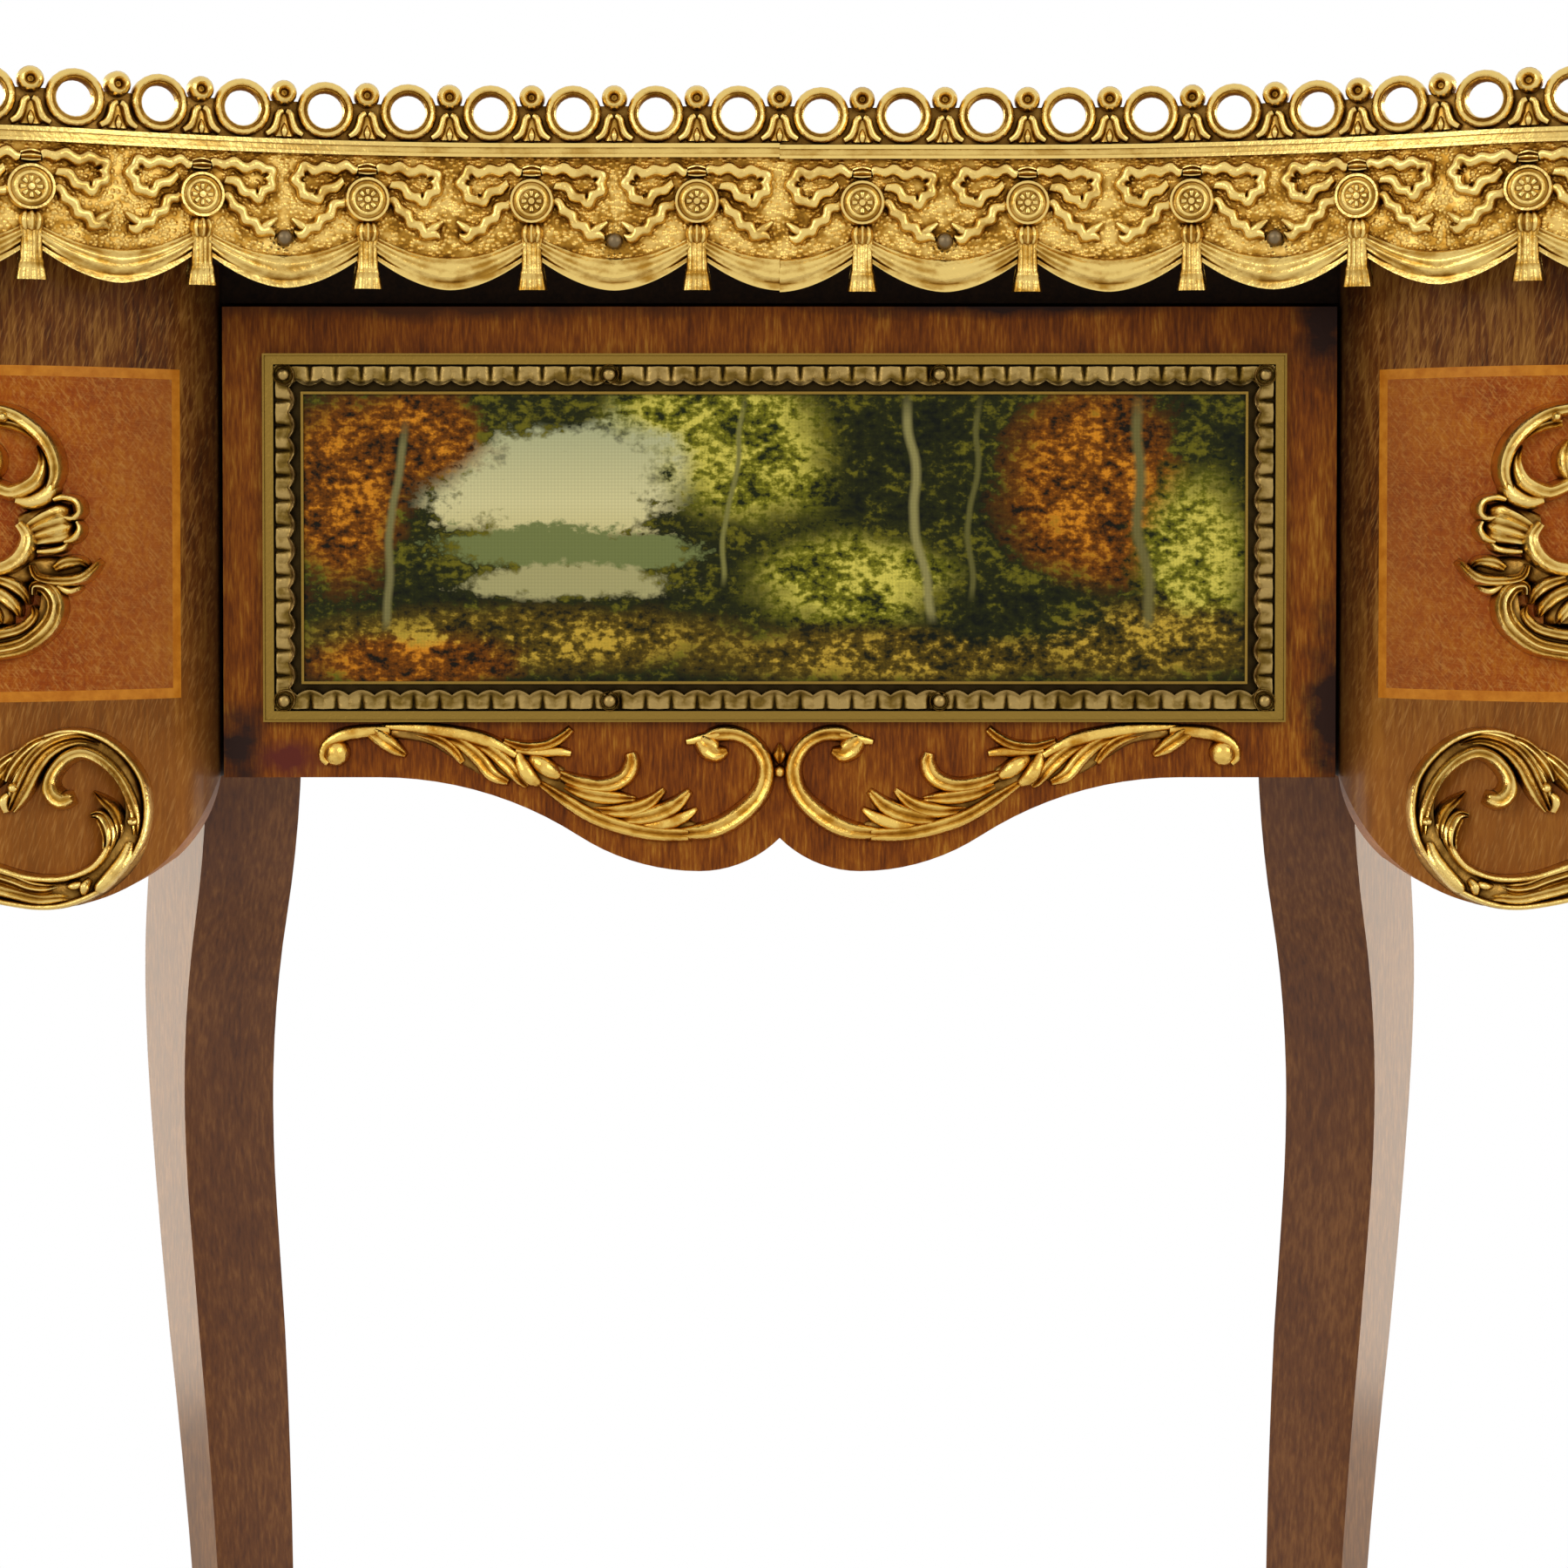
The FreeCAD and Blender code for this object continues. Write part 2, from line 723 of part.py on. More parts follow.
def drawer_side_blank():
    """Side of the box with dovetails that run into the front's end."""
    board = block(V(lining_inside, box_start, box_foot), V(drawer_half, box_end, box_top))
    pitch = drawer_box_height / dovetail_count
    tails = []
    for place in range(dovetail_count):
        middle = box_foot + pitch * (place + 0.5)
        root = dovetail_root / 2
        tip = root + dovetail_flare
        tip_y = box_start - dovetail_length
        corners = [V(lining_inside, box_start, middle - root), V(lining_inside, box_start, middle + root),
                   V(lining_inside, tip_y, middle + tip), V(lining_inside, tip_y, middle - tip)]
        tail = Part.Face(Part.makePolygon(corners + corners[:1]))
        tails.append(tail.extrude(ACROSS * drawer_lining_thickness))
    return joined([board] + tails)


def drawer_bottom():
    half = lining_inside + drawer_groove
    low = V(-half, box_start - drawer_groove, box_foot + drawer_bottom_rise)
    return block(low, V(half, box_end, low.z + drawer_bottom_thickness))


def drawer_back():
    half = lining_inside + drawer_groove
    rear = box_end - drawer_back_inset
    low = V(-half, rear - drawer_lining_thickness, box_foot + drawer_bottom_rise + drawer_bottom_thickness)
    return block(low, V(half, rear, box_top))


# Picture and its frame

picture_centre = V(0, drawer_face, body_foot + picture_centre_rise)


def picture_panel():
    half = V(picture_width / 2 + picture_lap, 0, picture_height / 2 + picture_lap)
    return block(picture_centre - half - V(0, picture_thickness, 0), picture_centre + half)


def frame_length(half_along, half_across):
    """Moulded length of the frame, mitred at both ends, lying under its picture's edge along X."""
    outer = half_across + frame_width
    rebate = half_across + picture_lap
    bead = outer - (frame_width + frame_fillet) / 2
    section = [(outer, 0), (outer, frame_fillet_height), (outer - frame_fillet, frame_fillet_height),
               (bead, frame_bead_height), (half_across, frame_sight_height),
               (half_across, picture_thickness), (rebate, picture_thickness), (rebate, 0)]
    reach = half_along + frame_width
    corners = [V(-reach, -height, -across) for across, height in section]
    moulding = Part.Face(Part.makePolygon(corners + corners[:1])).extrude(V(2 * reach, 0, 0))
    mitre = [V(-reach, 0, -outer), V(reach, 0, -outer),
             V(half_along, 0, -half_across), V(-half_along, 0, -half_across)]
    mask = Part.Face(Part.makePolygon(mitre + mitre[:1])).extrude(V(0, -2 * frame_bead_height, 0))
    return moulding.common(mask)


def frame_lengths():
    half_width = picture_width / 2
    half_height = picture_height / 2
    lengths = {}
    for name, quarter in (("bottom", 0), ("right", 1), ("top", 2), ("left", 3)):
        along, across = (half_height, half_width) if quarter % 2 else (half_width, half_height)
        length = frame_length(along, across)
        length.rotate(V(), V(0, 1, 0), -degrees(RIGHT_ANGLE) * quarter)
        length.translate(picture_centre)
        lengths[name] = length
    return lengths


def frame_pins():
    """Round pins on the frame's corners and thirds."""
    across = picture_height / 2 + frame_width - frame_pin_inset
    along = frame_half - frame_pin_inset
    pins = []
    for x in (-along, -along / 3, along / 3, along):
        for z in (-across, across):
            tip = picture_centre + V(x, frame_pin_length - frame_bead_height, z)
            shank = rod(frame_pin_shank_radius, shank_sides, tip, V(0, -1, 0), frame_pin_length)
            head_base = picture_centre + V(x, -frame_fillet_height, z)
            head_height = frame_bead_height + frame_pin_proud - frame_fillet_height
            head = rod(frame_pin_radius, head_sides, head_base, V(0, -1, 0), head_height)
            pins.append(joined([shank, head]))
    return Part.makeCompound(pins)


# Gilt mounts

def bowed(start, middle, end):
    """Corners along an arc through three places, its end left out."""
    return Part.Arc(start, middle, end).toShape().discretize(leaf_sides + 1)[:-1]


def crescent(start, end, outer_bow, inner_bow):
    """Leaf or scroll between two bowed edges over one chord in the XZ plane, bows to its left."""
    chord = end - start
    across = V(-chord.z, 0, chord.x).normalize()
    middle = (start + end) / 2
    corners = bowed(start, middle + across * outer_bow, end)
    corners += bowed(end, middle + across * inner_bow, start)
    return Part.Face(Part.makePolygon(corners + corners[:1]))


def round_face(radius, centre):
    corners = [centre + V(corner.x, 0, corner.y) for corner in corners_round(radius, knot_sides)]
    return Part.Face(Part.makePolygon(corners + corners[:1]))


def above_apron(point):
    """Point of the apron's mount, from the middle of the drawer's lower edge."""
    return V(point[0], 0, body_foot + point[1])


def apron_scroll():
    """Acanthus sprig of the drawer's apron: a hook beside the cusp, a leaf and a stem with a volute."""
    hook_tip = above_apron(sprig_hook_tip)
    foot = above_apron(sprig_foot)
    leaf_root = above_apron(sprig_leaf_root)
    stem_end, volute = [above_apron((frame_half - inset, rise))
                        for inset, rise in (sprig_stem_end, sprig_volute)]
    faces = [crescent(hook_tip, foot, -sprig_hook_bow, sprig_hook_thickness - sprig_hook_bow),
             crescent(foot, above_apron(sprig_leaf_tip), sprig_leaf_bow, -sprig_leaf_bow),
             crescent(leaf_root, stem_end, sprig_stem_bow, sprig_stem_bow - sprig_stem_thickness)]
    faces += [round_face(sprig_volute_radius, volute), round_face(sprig_knot_radius, foot)]
    sprig = joined([face.extrude(V(0, -apron_mount_relief, 0)) for face in faces])
    sprig.translate(V(0, drawer_face, 0))
    return sprig


def on_lobe(faces):
    """Cast a mount's outline, drawn ahead of the lobe, as facets that lie against the lobe's face."""
    form = joined([face.extrude(V(0, body_depth, 0)) for face in faces])
    form.translate(V(lobe_field_x, -body_depth, 0))
    field_turn = AHEAD - asin(lobe_field_offset / lobe_radius) - corner_end
    step = 2 * field_turn / lobe_facets
    seat = lobe_radius / cos(step / 2) - lobe_radius
    runs = [lobe_radius * step * count for count in range(lobe_facets + 1)]
    corners = [lobe.point(run, seat) for run in runs]
    corners += [lobe.point(run, lobe_mount_relief) for run in reversed(runs)]
    skin = raised(Part.makePolygon(corners + corners[:1]), 0, top_height)
    return form.common(skin)


def lobe_cartouche():
    """Cartouche with a round opening: an arched strap over two leaves and a hanging shell."""
    middle = V(0, 0, body_foot + cartouche_centre_rise)
    places = [middle + V(across, 0, up) for across, up in cartouche_edge]
    right = []
    for first in range(0, len(places) - 1, 2):
        right += bowed(*places[first:first + 3])
    left = [V(-corner.x, 0, corner.z) for corner in reversed(right[1:])]
    corners = right + places[-1:] + left
    plate = Part.Face(Part.makePolygon(corners + corners[:1]))
    return on_lobe([plate.cut(round_face(cartouche_hole_radius, middle))])


def lobe_scroll():
    """Two hooked scrolls that meet in the middle over the lobe's lower edge."""
    top = V(-scroll_hook_x, 0, body_foot + scroll_top_rise)
    foot = V(-scroll_hook_x, 0, body_foot - scroll_foot_drop)
    bow = scroll_half_width - scroll_hook_x
    middle_foot = V(0, 0, foot.z + scroll_middle_rise)
    middle_top = V(0, 0, top.z - scroll_middle_drop)
    half = [crescent(top, foot, -bow, scroll_thickness - bow),
            crescent(foot, middle_foot, -scroll_leaf_bow, scroll_leaf_bow),
            crescent(top, middle_top, scroll_leaf_bow, -scroll_leaf_bow),
            round_face(scroll_knot_radius, top), round_face(scroll_knot_radius, foot)]
    palmettes = [round_face(scroll_knot_radius, middle_foot), round_face(scroll_knot_radius, middle_top)]
    return on_lobe(half + [mirrored(face) for face in half] + palmettes)


# Nodes

def pair(name, right):
    return {name + "_left": mirrored(right), name + "_right": right}


def both(right):
    return Part.makeCompound([mirrored(right), right])


def top_nodes():
    screws = top_screws()
    pins = gallery_pins()
    frame_top = frame_underside + top_frame_thickness
    ring = kidney(0, frame_underside, frame_top).cut(kidney(-top_frame_width, frame_underside, frame_top))
    nodes = {"top_board": kidney(0, frame_top, top_height).cut(screws),
             "top_frame": ring.cut([screws, pins]), "top_screws": screws, "gallery_pins": pins}
    nodes.update(pair("gallery_front", gallery_strip(0, front_strip_units).cut(pins)))
    nodes.update(pair("gallery_back", gallery_strip(front_strip_units, repeat_count).cut(pins)))
    return nodes


def carcase_nodes():
    lobe_front = lobe_panel()
    side = side_panel()
    rear = back_panel()
    screws = top_screws()
    nodes = {"back_panel": rear, "front_rail": front_rail().cut(screws)}
    nodes.update(pair("lobe_panel", lobe_front))
    nodes.update(pair("side_panel", side))
    nodes.update(pair("partition", partition()))
    nodes["lobe_stringing"] = both(stringing())
    nodes["lobe_cartouches"] = both(lobe_cartouche())
    nodes["lobe_scrolls"] = both(lobe_scroll())
    nodes.update(pair("drawer_runner", runner()))
    nodes.update(pair("drawer_kicker", kicker().cut(screws)))
    nodes["drawer_stops"] = both(drawer_stop())
    places = {"front": (lobe, front_leg_facing, [lobe_front, side]),
              "back": (back, back_leg_facing, [side, rear])}
    for name, (stretch, facing, panels) in places.items():
        foot = leg(stretch, facing, panels)
        nodes.update(pair(name + "_leg", foot))
        nodes[name + "_sabots"] = both(sabot(stretch, facing, foot))
    return nodes


def drawer_nodes():
    bottom = drawer_bottom()
    rear = drawer_back()
    side = drawer_side_blank()
    pins = frame_pins()
    picture = picture_panel()
    front = drawer_front_blank().cut([side, mirrored(side), bottom, pins])
    nodes = {"drawer_front": front, "drawer_back": rear, "drawer_bottom": bottom,
             "picture_panel": picture.cut(pins), "picture_frame_pins": pins}
    nodes.update(pair("drawer_side", side.cut([bottom, rear])))
    nodes["apron_scrolls"] = both(apron_scroll())
    for name, length in frame_lengths().items():
        nodes["picture_frame_" + name] = length.cut(pins)
    return nodes


os.makedirs("parts", exist_ok=True)
for build in (top_nodes, carcase_nodes, drawer_nodes):
    for name, shape in build().items():
        shape.exportStep("parts/" + name + ".step")
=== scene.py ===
from math import cos, pi, radians, sin, sqrt

import bmesh
import bpy
from mathutils import Matrix, Vector


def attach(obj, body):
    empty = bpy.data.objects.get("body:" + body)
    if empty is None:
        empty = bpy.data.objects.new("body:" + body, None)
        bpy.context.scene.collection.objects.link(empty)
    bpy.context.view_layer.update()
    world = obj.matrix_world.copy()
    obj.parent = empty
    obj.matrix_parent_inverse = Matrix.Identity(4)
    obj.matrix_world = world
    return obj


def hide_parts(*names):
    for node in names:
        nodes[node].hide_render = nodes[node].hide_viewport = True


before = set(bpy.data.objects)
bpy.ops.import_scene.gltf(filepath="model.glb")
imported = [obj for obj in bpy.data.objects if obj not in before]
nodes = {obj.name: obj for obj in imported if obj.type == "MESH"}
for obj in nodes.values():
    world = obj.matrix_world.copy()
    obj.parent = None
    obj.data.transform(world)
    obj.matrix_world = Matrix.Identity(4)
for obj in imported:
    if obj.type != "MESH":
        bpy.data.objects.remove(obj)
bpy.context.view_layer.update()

# All sizes are in millimetres and become metres where a piece gets its place
MM = 0.001

# The photograph's camera: place, lens and where its axis meets the frame
photo_size = 1800
focal_pixels = 3620
camera_place = (0, -997.3, 617)
camera_pitch = radians(1.35)
axis_pixel = (895, 705)
sensor_width = 36

# Sizes shared with the solids
body_foot = 552.9
drawer_face = -147.3
lobe_centre = Vector((225.0, -95.3))
lobe_radius = 96.0
mount_x = 207.0
field_x = 210.2
field_half = 50.4
field_low = 577.9
field_high = 659.2
top_front = -162.3
hollow_x = 63.65
hollow_radius = 230.0
hollow_turn = radians(28.5)
edge_radius = 108.0
back_radius = 336.1
back_centre = Vector((0, -132.8))
back_start = radians(9.46)
repeat_count = 41
picture_middle = 617.5
picture_up = 39.4

# Where the lobes' veneer changes: up at its paler foot, across at its painted highlight and its painted shade
# towards the drawer
foot_start, foot_end = 600, 560
highlight_start, highlight_end = 186, 158
drawer_shade_start, drawer_shade_end = 158, 150


# Colours and nodes

def colour(text):
    """Linear colour from an sRGB hex value."""
    parts = [int(text[place:place + 2], 16) / 255 for place in (1, 3, 5)]
    linear = [part / 12.92 if part <= 0.04045 else ((part + 0.055) / 1.055) ** 2.4 for part in parts]
    return (*linear, 1.0)


def feed(tree, node, inputs):
    """Give a node its values and links."""
    for name, value in inputs.items():
        if isinstance(value, bpy.types.Node):
            value = value.outputs[0]
        if isinstance(value, bpy.types.NodeSocket):
            tree.links.new(value, node.inputs[name])
        else:
            node.inputs[name].default_value = value


def add(tree, kind, inputs=None, stops=(), **settings):
    """Add a shader node with its settings, values, links and colour stops."""
    node = tree.nodes.new("ShaderNode" + kind)
    for name, value in settings.items():
        setattr(node, name, value)
    feed(tree, node, inputs or {})
    for count, (at, text) in enumerate(stops):
        elements = node.color_ramp.elements
        element = elements[count] if count < len(elements) else elements.new(at)
        element.position = at
        element.color = colour(text)
    return node


def new_material(name):
    """Material with its node tree, its shader and the place on the piece in millimetres."""
    material = bpy.data.materials.new(name)
    material.use_nodes = True
    tree = material.node_tree
    place = add(tree, "TexCoord").outputs["Object"]
    place = add(tree, "VectorMath", {0: place, 1: (1 / MM,) * 3}, operation="MULTIPLY")
    return material, tree, tree.nodes["Principled BSDF"], place


def grain(tree, place, size, detail=4.0):
    """Grain or cloud drawn out to a size in millimetres along X, Y and Z."""
    drawn = add(tree, "VectorMath", {0: place, 1: [1 / part for part in size]}, operation="MULTIPLY")
    return add(tree, "TexNoise", {"Vector": drawn, "Scale": 1.0, "Detail": detail, "Roughness": 0.6})


def patch(tree, place, ragged, x, z, across, up, edge=0.5):
    """One inside a ragged oval on the front, nought well outside it."""
    offset = add(tree, "VectorMath", {0: place, 1: (x, 0, z)}, operation="SUBTRACT")
    share = add(tree, "VectorMath", {0: offset, 1: (1 / across, 0, 1 / up)}, operation="MULTIPLY")
    far = add(tree, "VectorMath", {0: share}, operation="LENGTH").outputs["Value"]
    torn = add(tree, "Math", {0: ragged, 1: 2.0, 2: far}, operation="MULTIPLY_ADD")
    return add(tree, "MapRange", {"Value": torn, "From Min": 2.0 + edge / 2, "From Max": 2.0 - edge / 2})


# Finishes

def gilt(name, stops, roughness, patina=0.33, dots=0, shade=1.9):
    """Cast brass, gilded and toned: brighter where proud (wear and painted highlight), brown in hollows
    (patina and painted shade).

    Patina is how far its clouds darken it, dots the pitch of a stippled ground, and shade how far the patina
    and painted shade of its hollows reach.
    """
    material, tree, shader, place = new_material(name)
    # Patina and painted shade: ambient occlusion darkens the hollows; wear and painted highlight: pointiness
    # brightens proud edges
    hollow_patina_and_shade = add(tree, "AmbientOcclusion", {"Distance": shade * MM}, samples=6).outputs["AO"]
    proud = add(tree, "NewGeometry").outputs["Pointiness"]
    worn_and_highlit = add(tree, "MapRange", {"Value": proud, "From Min": 0.47, "From Max": 0.56, "To Max": 0.3})
    clouds = add(tree, "MapRange", {"Value": grain(tree, place, (8, 8, 6)), "From Min": 0.34,
                                    "From Max": 0.62, "To Min": 0.95 - patina, "To Max": 0.95})
    tone = add(tree, "Math", {0: hollow_patina_and_shade, 1: clouds, 2: worn_and_highlit}, operation="MULTIPLY_ADD")
    height = grain(tree, place, (1.4, 1.4, 1.4), 2.0)
    if dots:
        spots = add(tree, "TexVoronoi", {"Vector": place, "Scale": 1 / dots}).outputs["Distance"]
        height = add(tree, "MapRange", {"Value": spots, "From Min": 0.6, "From Max": 0.15})
        tone = add(tree, "Math", {0: height, 1: 0.4, 2: tone}, operation="MULTIPLY_ADD")
        tone = add(tree, "Math", {0: tone, 1: 0.22}, operation="SUBTRACT")
    toned = add(tree, "ValToRGB", {"Fac": tone}, stops)
    dull = add(tree, "MapRange", {"Value": tone, "To Min": roughness + 0.2, "To Max": roughness})
    deep = (0.45 if dots else 0.22) * MM
    bump = add(tree, "Bump", {"Height": height, "Distance": deep, "Strength": 0.8})
    feed(tree, shader, {"Base Color": toned, "Roughness": dull, "Metallic": 1, "Normal": bump})
    return material


cast_gilt = gilt("toned_gilt_brass",
                 [(0.15, "#1f0e02"), (0.42, "#6a430f"), (0.72, "#a97c2c"), (1.0, "#e3c372")], 0.24)
bright_gilt = gilt("bright_gilt_brass",
                   [(0.15, "#240f02"), (0.45, "#7a4a0e"), (0.75, "#b67e24"), (1.0, "#e4be62")],
                   0.24, patina=0.4, shade=3.0)
stippled_gilt = gilt("stippled_gilt_ground",
                     [(0.18, "#1c0d02"), (0.42, "#633d0d"), (0.7, "#a97a2a"), (1.0, "#e2bc68")],
                     0.3, patina=0.55, dots=1.25)
# Painted shade: a darker copy of the gilt for the gallery's webs and the mounts' grounds, which sit back
shaded_gilt = gilt("shaded_gilt_web",
                   [(0.18, "#120a02"), (0.5, "#3a240a"), (0.8, "#6e4c1c"), (1.0, "#9a7436")],
                   0.32, patina=0.4)
stamped_brass = gilt("stamped_toned_brass",
                     [(0.2, "#0c0802"), (0.5, "#3a2a0a"), (0.8, "#6c5422"), (1.0, "#a0854e")], 0.36)
fillet_brass = gilt("flat_toned_brass",
                    [(0.2, "#0c0802"), (0.5, "#33240a"), (0.8, "#5c4414"), (0.95, "#745620"),
                     (1.0, "#866a2e")], 0.38, patina=0.12)
# Painted shade: near-black brass for the groove between the leaf tips and the sight line
groove_shade_brass = gilt("painted_shade_groove_brass", [(0.2, "#0a0703"), (0.7, "#1a1309"), (1.0, "#2e2310")], 0.5)
nail_brass = gilt("darkened_nail_brass",
                  [(0.1, "#0c0704"), (0.4, "#2a1e12"), (0.8, "#4c3d28"), (1.0, "#77654a")], 0.4)


def polish(weight, roughness):
    """French polish: a thin clear skin over the wood."""
    return {"Roughness": 0.6, "Specular IOR Level": 0.12, "Coat Weight": weight, "Coat Roughness": roughness}


def figured(tree, place, fine, broad, share, stops):
    """A wood's colour, from its fine grain and a share of its broad figure."""
    tone = add(tree, "MixRGB", {"Fac": share, "Color1": grain(tree, place, fine),
                                "Color2": grain(tree, place, broad)})
    return add(tree, "ValToRGB", {"Fac": tone}, stops)


def flecked(tree, place, wood, angle, width, length, show, text):
    """A wood with light flecks over it, leaning from upright by an angle."""
    way = add(tree, "VectorRotate", {"Vector": place, "Axis": (0, 1, 0), "Angle": radians(angle)})
    fleck = grain(tree, way, (width, 3, length), 2.0)
    fleck = add(tree, "MapRange", {"Value": fleck, "From Min": 0.52, "From Max": 0.7, "To Max": show})
    return add(tree, "MixRGB", {"Fac": fleck, "Color1": wood, "Color2": colour(text)})


def shaded(tree, wood, along, start, end, show, text):
    """A wood that turns towards another colour from one place to another."""
    share = add(tree, "MapRange", {"Value": along, "From Min": start, "From Max": end, "To Max": show})
    return add(tree, "MixRGB", {"Fac": share, "Color1": wood, "Color2": colour(text)})


def crossbanded_veneer():
    """Kingwood veneer, sliced and polished: upright golden flecks on orange brown, with dark patches at its
    corners and a dark strip along its top edge.
    """
    material, tree, shader, place = new_material("kingwood_crossbanding")
    fleck = grain(tree, place, (0.8, 3, 7))
    figure = grain(tree, place, (9, 20, 30))
    tone = add(tree, "MixRGB", {"Fac": 0.45, "Color1": fleck, "Color2": figure})
    wood = add(tree, "ValToRGB", {"Fac": tone},
               [(0.34, "#512302"), (0.46, "#7b3c06"), (0.54, "#95500c"), (0.66, "#bb7c26")])
    ragged = grain(tree, place, (9, 9, 7))
    # Dark patches at the corners and a dark strip along the top edge
    for x, z, across, up, text in ((-146, 560, 7, 10, "#2c1810"), (-133, 558, 7, 4.5, "#64281c"),
                                   (149, 570, 6, 22, "#2c1408"), (148, 676, 8, 14, "#2a1206"),
                                   (62, 680, 40, 2.5, "#2a1206"), (-96, 680, 60, 3, "#4c260a")):
        dark_patch = patch(tree, place, ragged, x, z, across, up, 1.1)
        wood = add(tree, "MixRGB", {"Fac": dark_patch, "Color1": wood, "Color2": colour(text)})
    bump = add(tree, "Bump", {"Height": fleck, "Distance": 0.08 * MM, "Strength": 0.6})
    feed(tree, shader, {"Base Color": wood, "Normal": bump, **polish(0.05, 0.2)})
    return material


def lobe_veneer():
    """Two polished veneers: a scratched red-brown field inside the stringing, and flecked banding round it.

    Towards the drawer the field turns paler, a painted highlight, and the banding near black, a painted
    shade; the banding is paler at its foot.
    """
    material, tree, shader, place = new_material("bowed_lobe_veneer")
    parts = add(tree, "SeparateXYZ", {0: place})
    height = parts.outputs["Z"]
    across = add(tree, "Math", {0: parts.outputs["X"]}, operation="ABSOLUTE")
    off = add(tree, "Math", {0: across, 1: field_x}, operation="SUBTRACT")
    off = add(tree, "Math", {0: off}, operation="ABSOLUTE")
    inside = add(tree, "Math", {0: off, 1: field_half}, operation="LESS_THAN")
    above = add(tree, "Math", {0: height, 1: field_low}, operation="GREATER_THAN")
    below = add(tree, "Math", {0: height, 1: field_high}, operation="LESS_THAN")
    inside = add(tree, "Math", {0: inside, 1: above}, operation="MULTIPLY")
    inside = add(tree, "Math", {0: inside, 1: below}, operation="MULTIPLY")
    field = figured(tree, place, (0.9, 2.5, 2.4), (30, 30, 26), 0.55,
                    [(0.34, "#883202"), (0.5, "#a84f05"), (0.64, "#c07014")])
    for angle, width, length, show in ((38, 0.55, 2.6, 0.5), (-35, 0.55, 2.2, 0.3), (84, 0.3, 12, 0.25)):
        field = flecked(tree, place, field, angle, width, length, show, "#d89a48")
    # Painted highlight: the field turns paler towards the drawer
    field = shaded(tree, field, across, highlight_start, highlight_end, 0.35, "#a8682e")
    banding = figured(tree, place, (0.8, 4, 9), (9, 20, 60), 0.45,
                      [(0.36, "#3c1a04"), (0.5, "#6e3a0c"), (0.62, "#9a6626")])
    banding = shaded(tree, banding, height, foot_start, foot_end, 0.5, "#b26c22")
    banding = flecked(tree, place, banding, -16, 0.45, 5.5, 0.5, "#c48a44")
    # Painted shade: the banding turns near black towards the drawer
    banding = shaded(tree, banding, across, drawer_shade_start, drawer_shade_end, 0.9, "#1a0d05")
    wood = add(tree, "MixRGB", {"Fac": inside, "Color1": banding, "Color2": field})
    feed(tree, shader, {"Base Color": wood, **polish(0.06, 0.15)})
    return material


def leg_veneer():
    """Stained beech, polished and dusty: dark brown with short flecks along the leg, pale at a slant."""
    material, tree, shader, place = new_material("stained_leg_wood")
    wood = figured(tree, place, (1.4, 1.4, 7), (26, 26, 60), 0.4,
                   [(0.34, "#4a240a"), (0.5, "#633813"), (0.64, "#7e5024")])
    feed(tree, shader, {"Base Color": wood, **polish(0.38, 0.15), "Sheen Weight": 1.0, "Sheen Roughness": 0.3,
                        "Sheen Tint": colour("#fff0bc")})
    return material


def carcase_veneer():
    """Quartered veneer of the top, sides and back: brown figure with fine pores, French polished."""
    material, tree, shader, place = new_material("quartered_carcase_veneer")
    wood = figured(tree, place, (7, 0.9, 7), (60, 12, 60), 0.45,
                   [(0.34, "#4a260c"), (0.5, "#743d12"), (0.64, "#9a662f")])
    feed(tree, shader, {"Base Color": wood, **polish(0.3, 0.15)})
    return material


def bare_wood(name, dark, light):
    """Planed softwood without polish: dull, with long soft grain from front to back."""
    material, tree, shader, place = new_material(name)
    wood = figured(tree, place, (3, 40, 3), (1, 9, 1), 0.5, [(0.35, dark), (0.65, light)])
    feed(tree, shader, {"Base Color": wood, "Roughness": 0.75, "Specular IOR Level": 0.2})
    return material


def dyed_stringing():
    """Dyed sycamore line, polished: a plain warm orange."""
    material, tree, shader, place = new_material("dyed_sycamore_stringing")
    tone = grain(tree, place, (4, 4, 4))
    line = add(tree, "ValToRGB", {"Fac": tone}, [(0.35, "#c4700c"), (0.65, "#dc8c22")])
    feed(tree, shader, {"Base Color": line, **polish(0.2, 0.2)})
    return material


def screw_steel():
    """Bare steel wood screws: grey and slightly dull."""
    material, tree, shader, place = new_material("bare_screw_steel")
    tone = grain(tree, place, (1, 1, 1))
    steel = add(tree, "ValToRGB", {"Fac": tone}, [(0.3, "#6b6864"), (0.7, "#8e8b86")])
    feed(tree, shader, {"Base Color": steel, "Metallic": 1, "Roughness": 0.45})
    return material


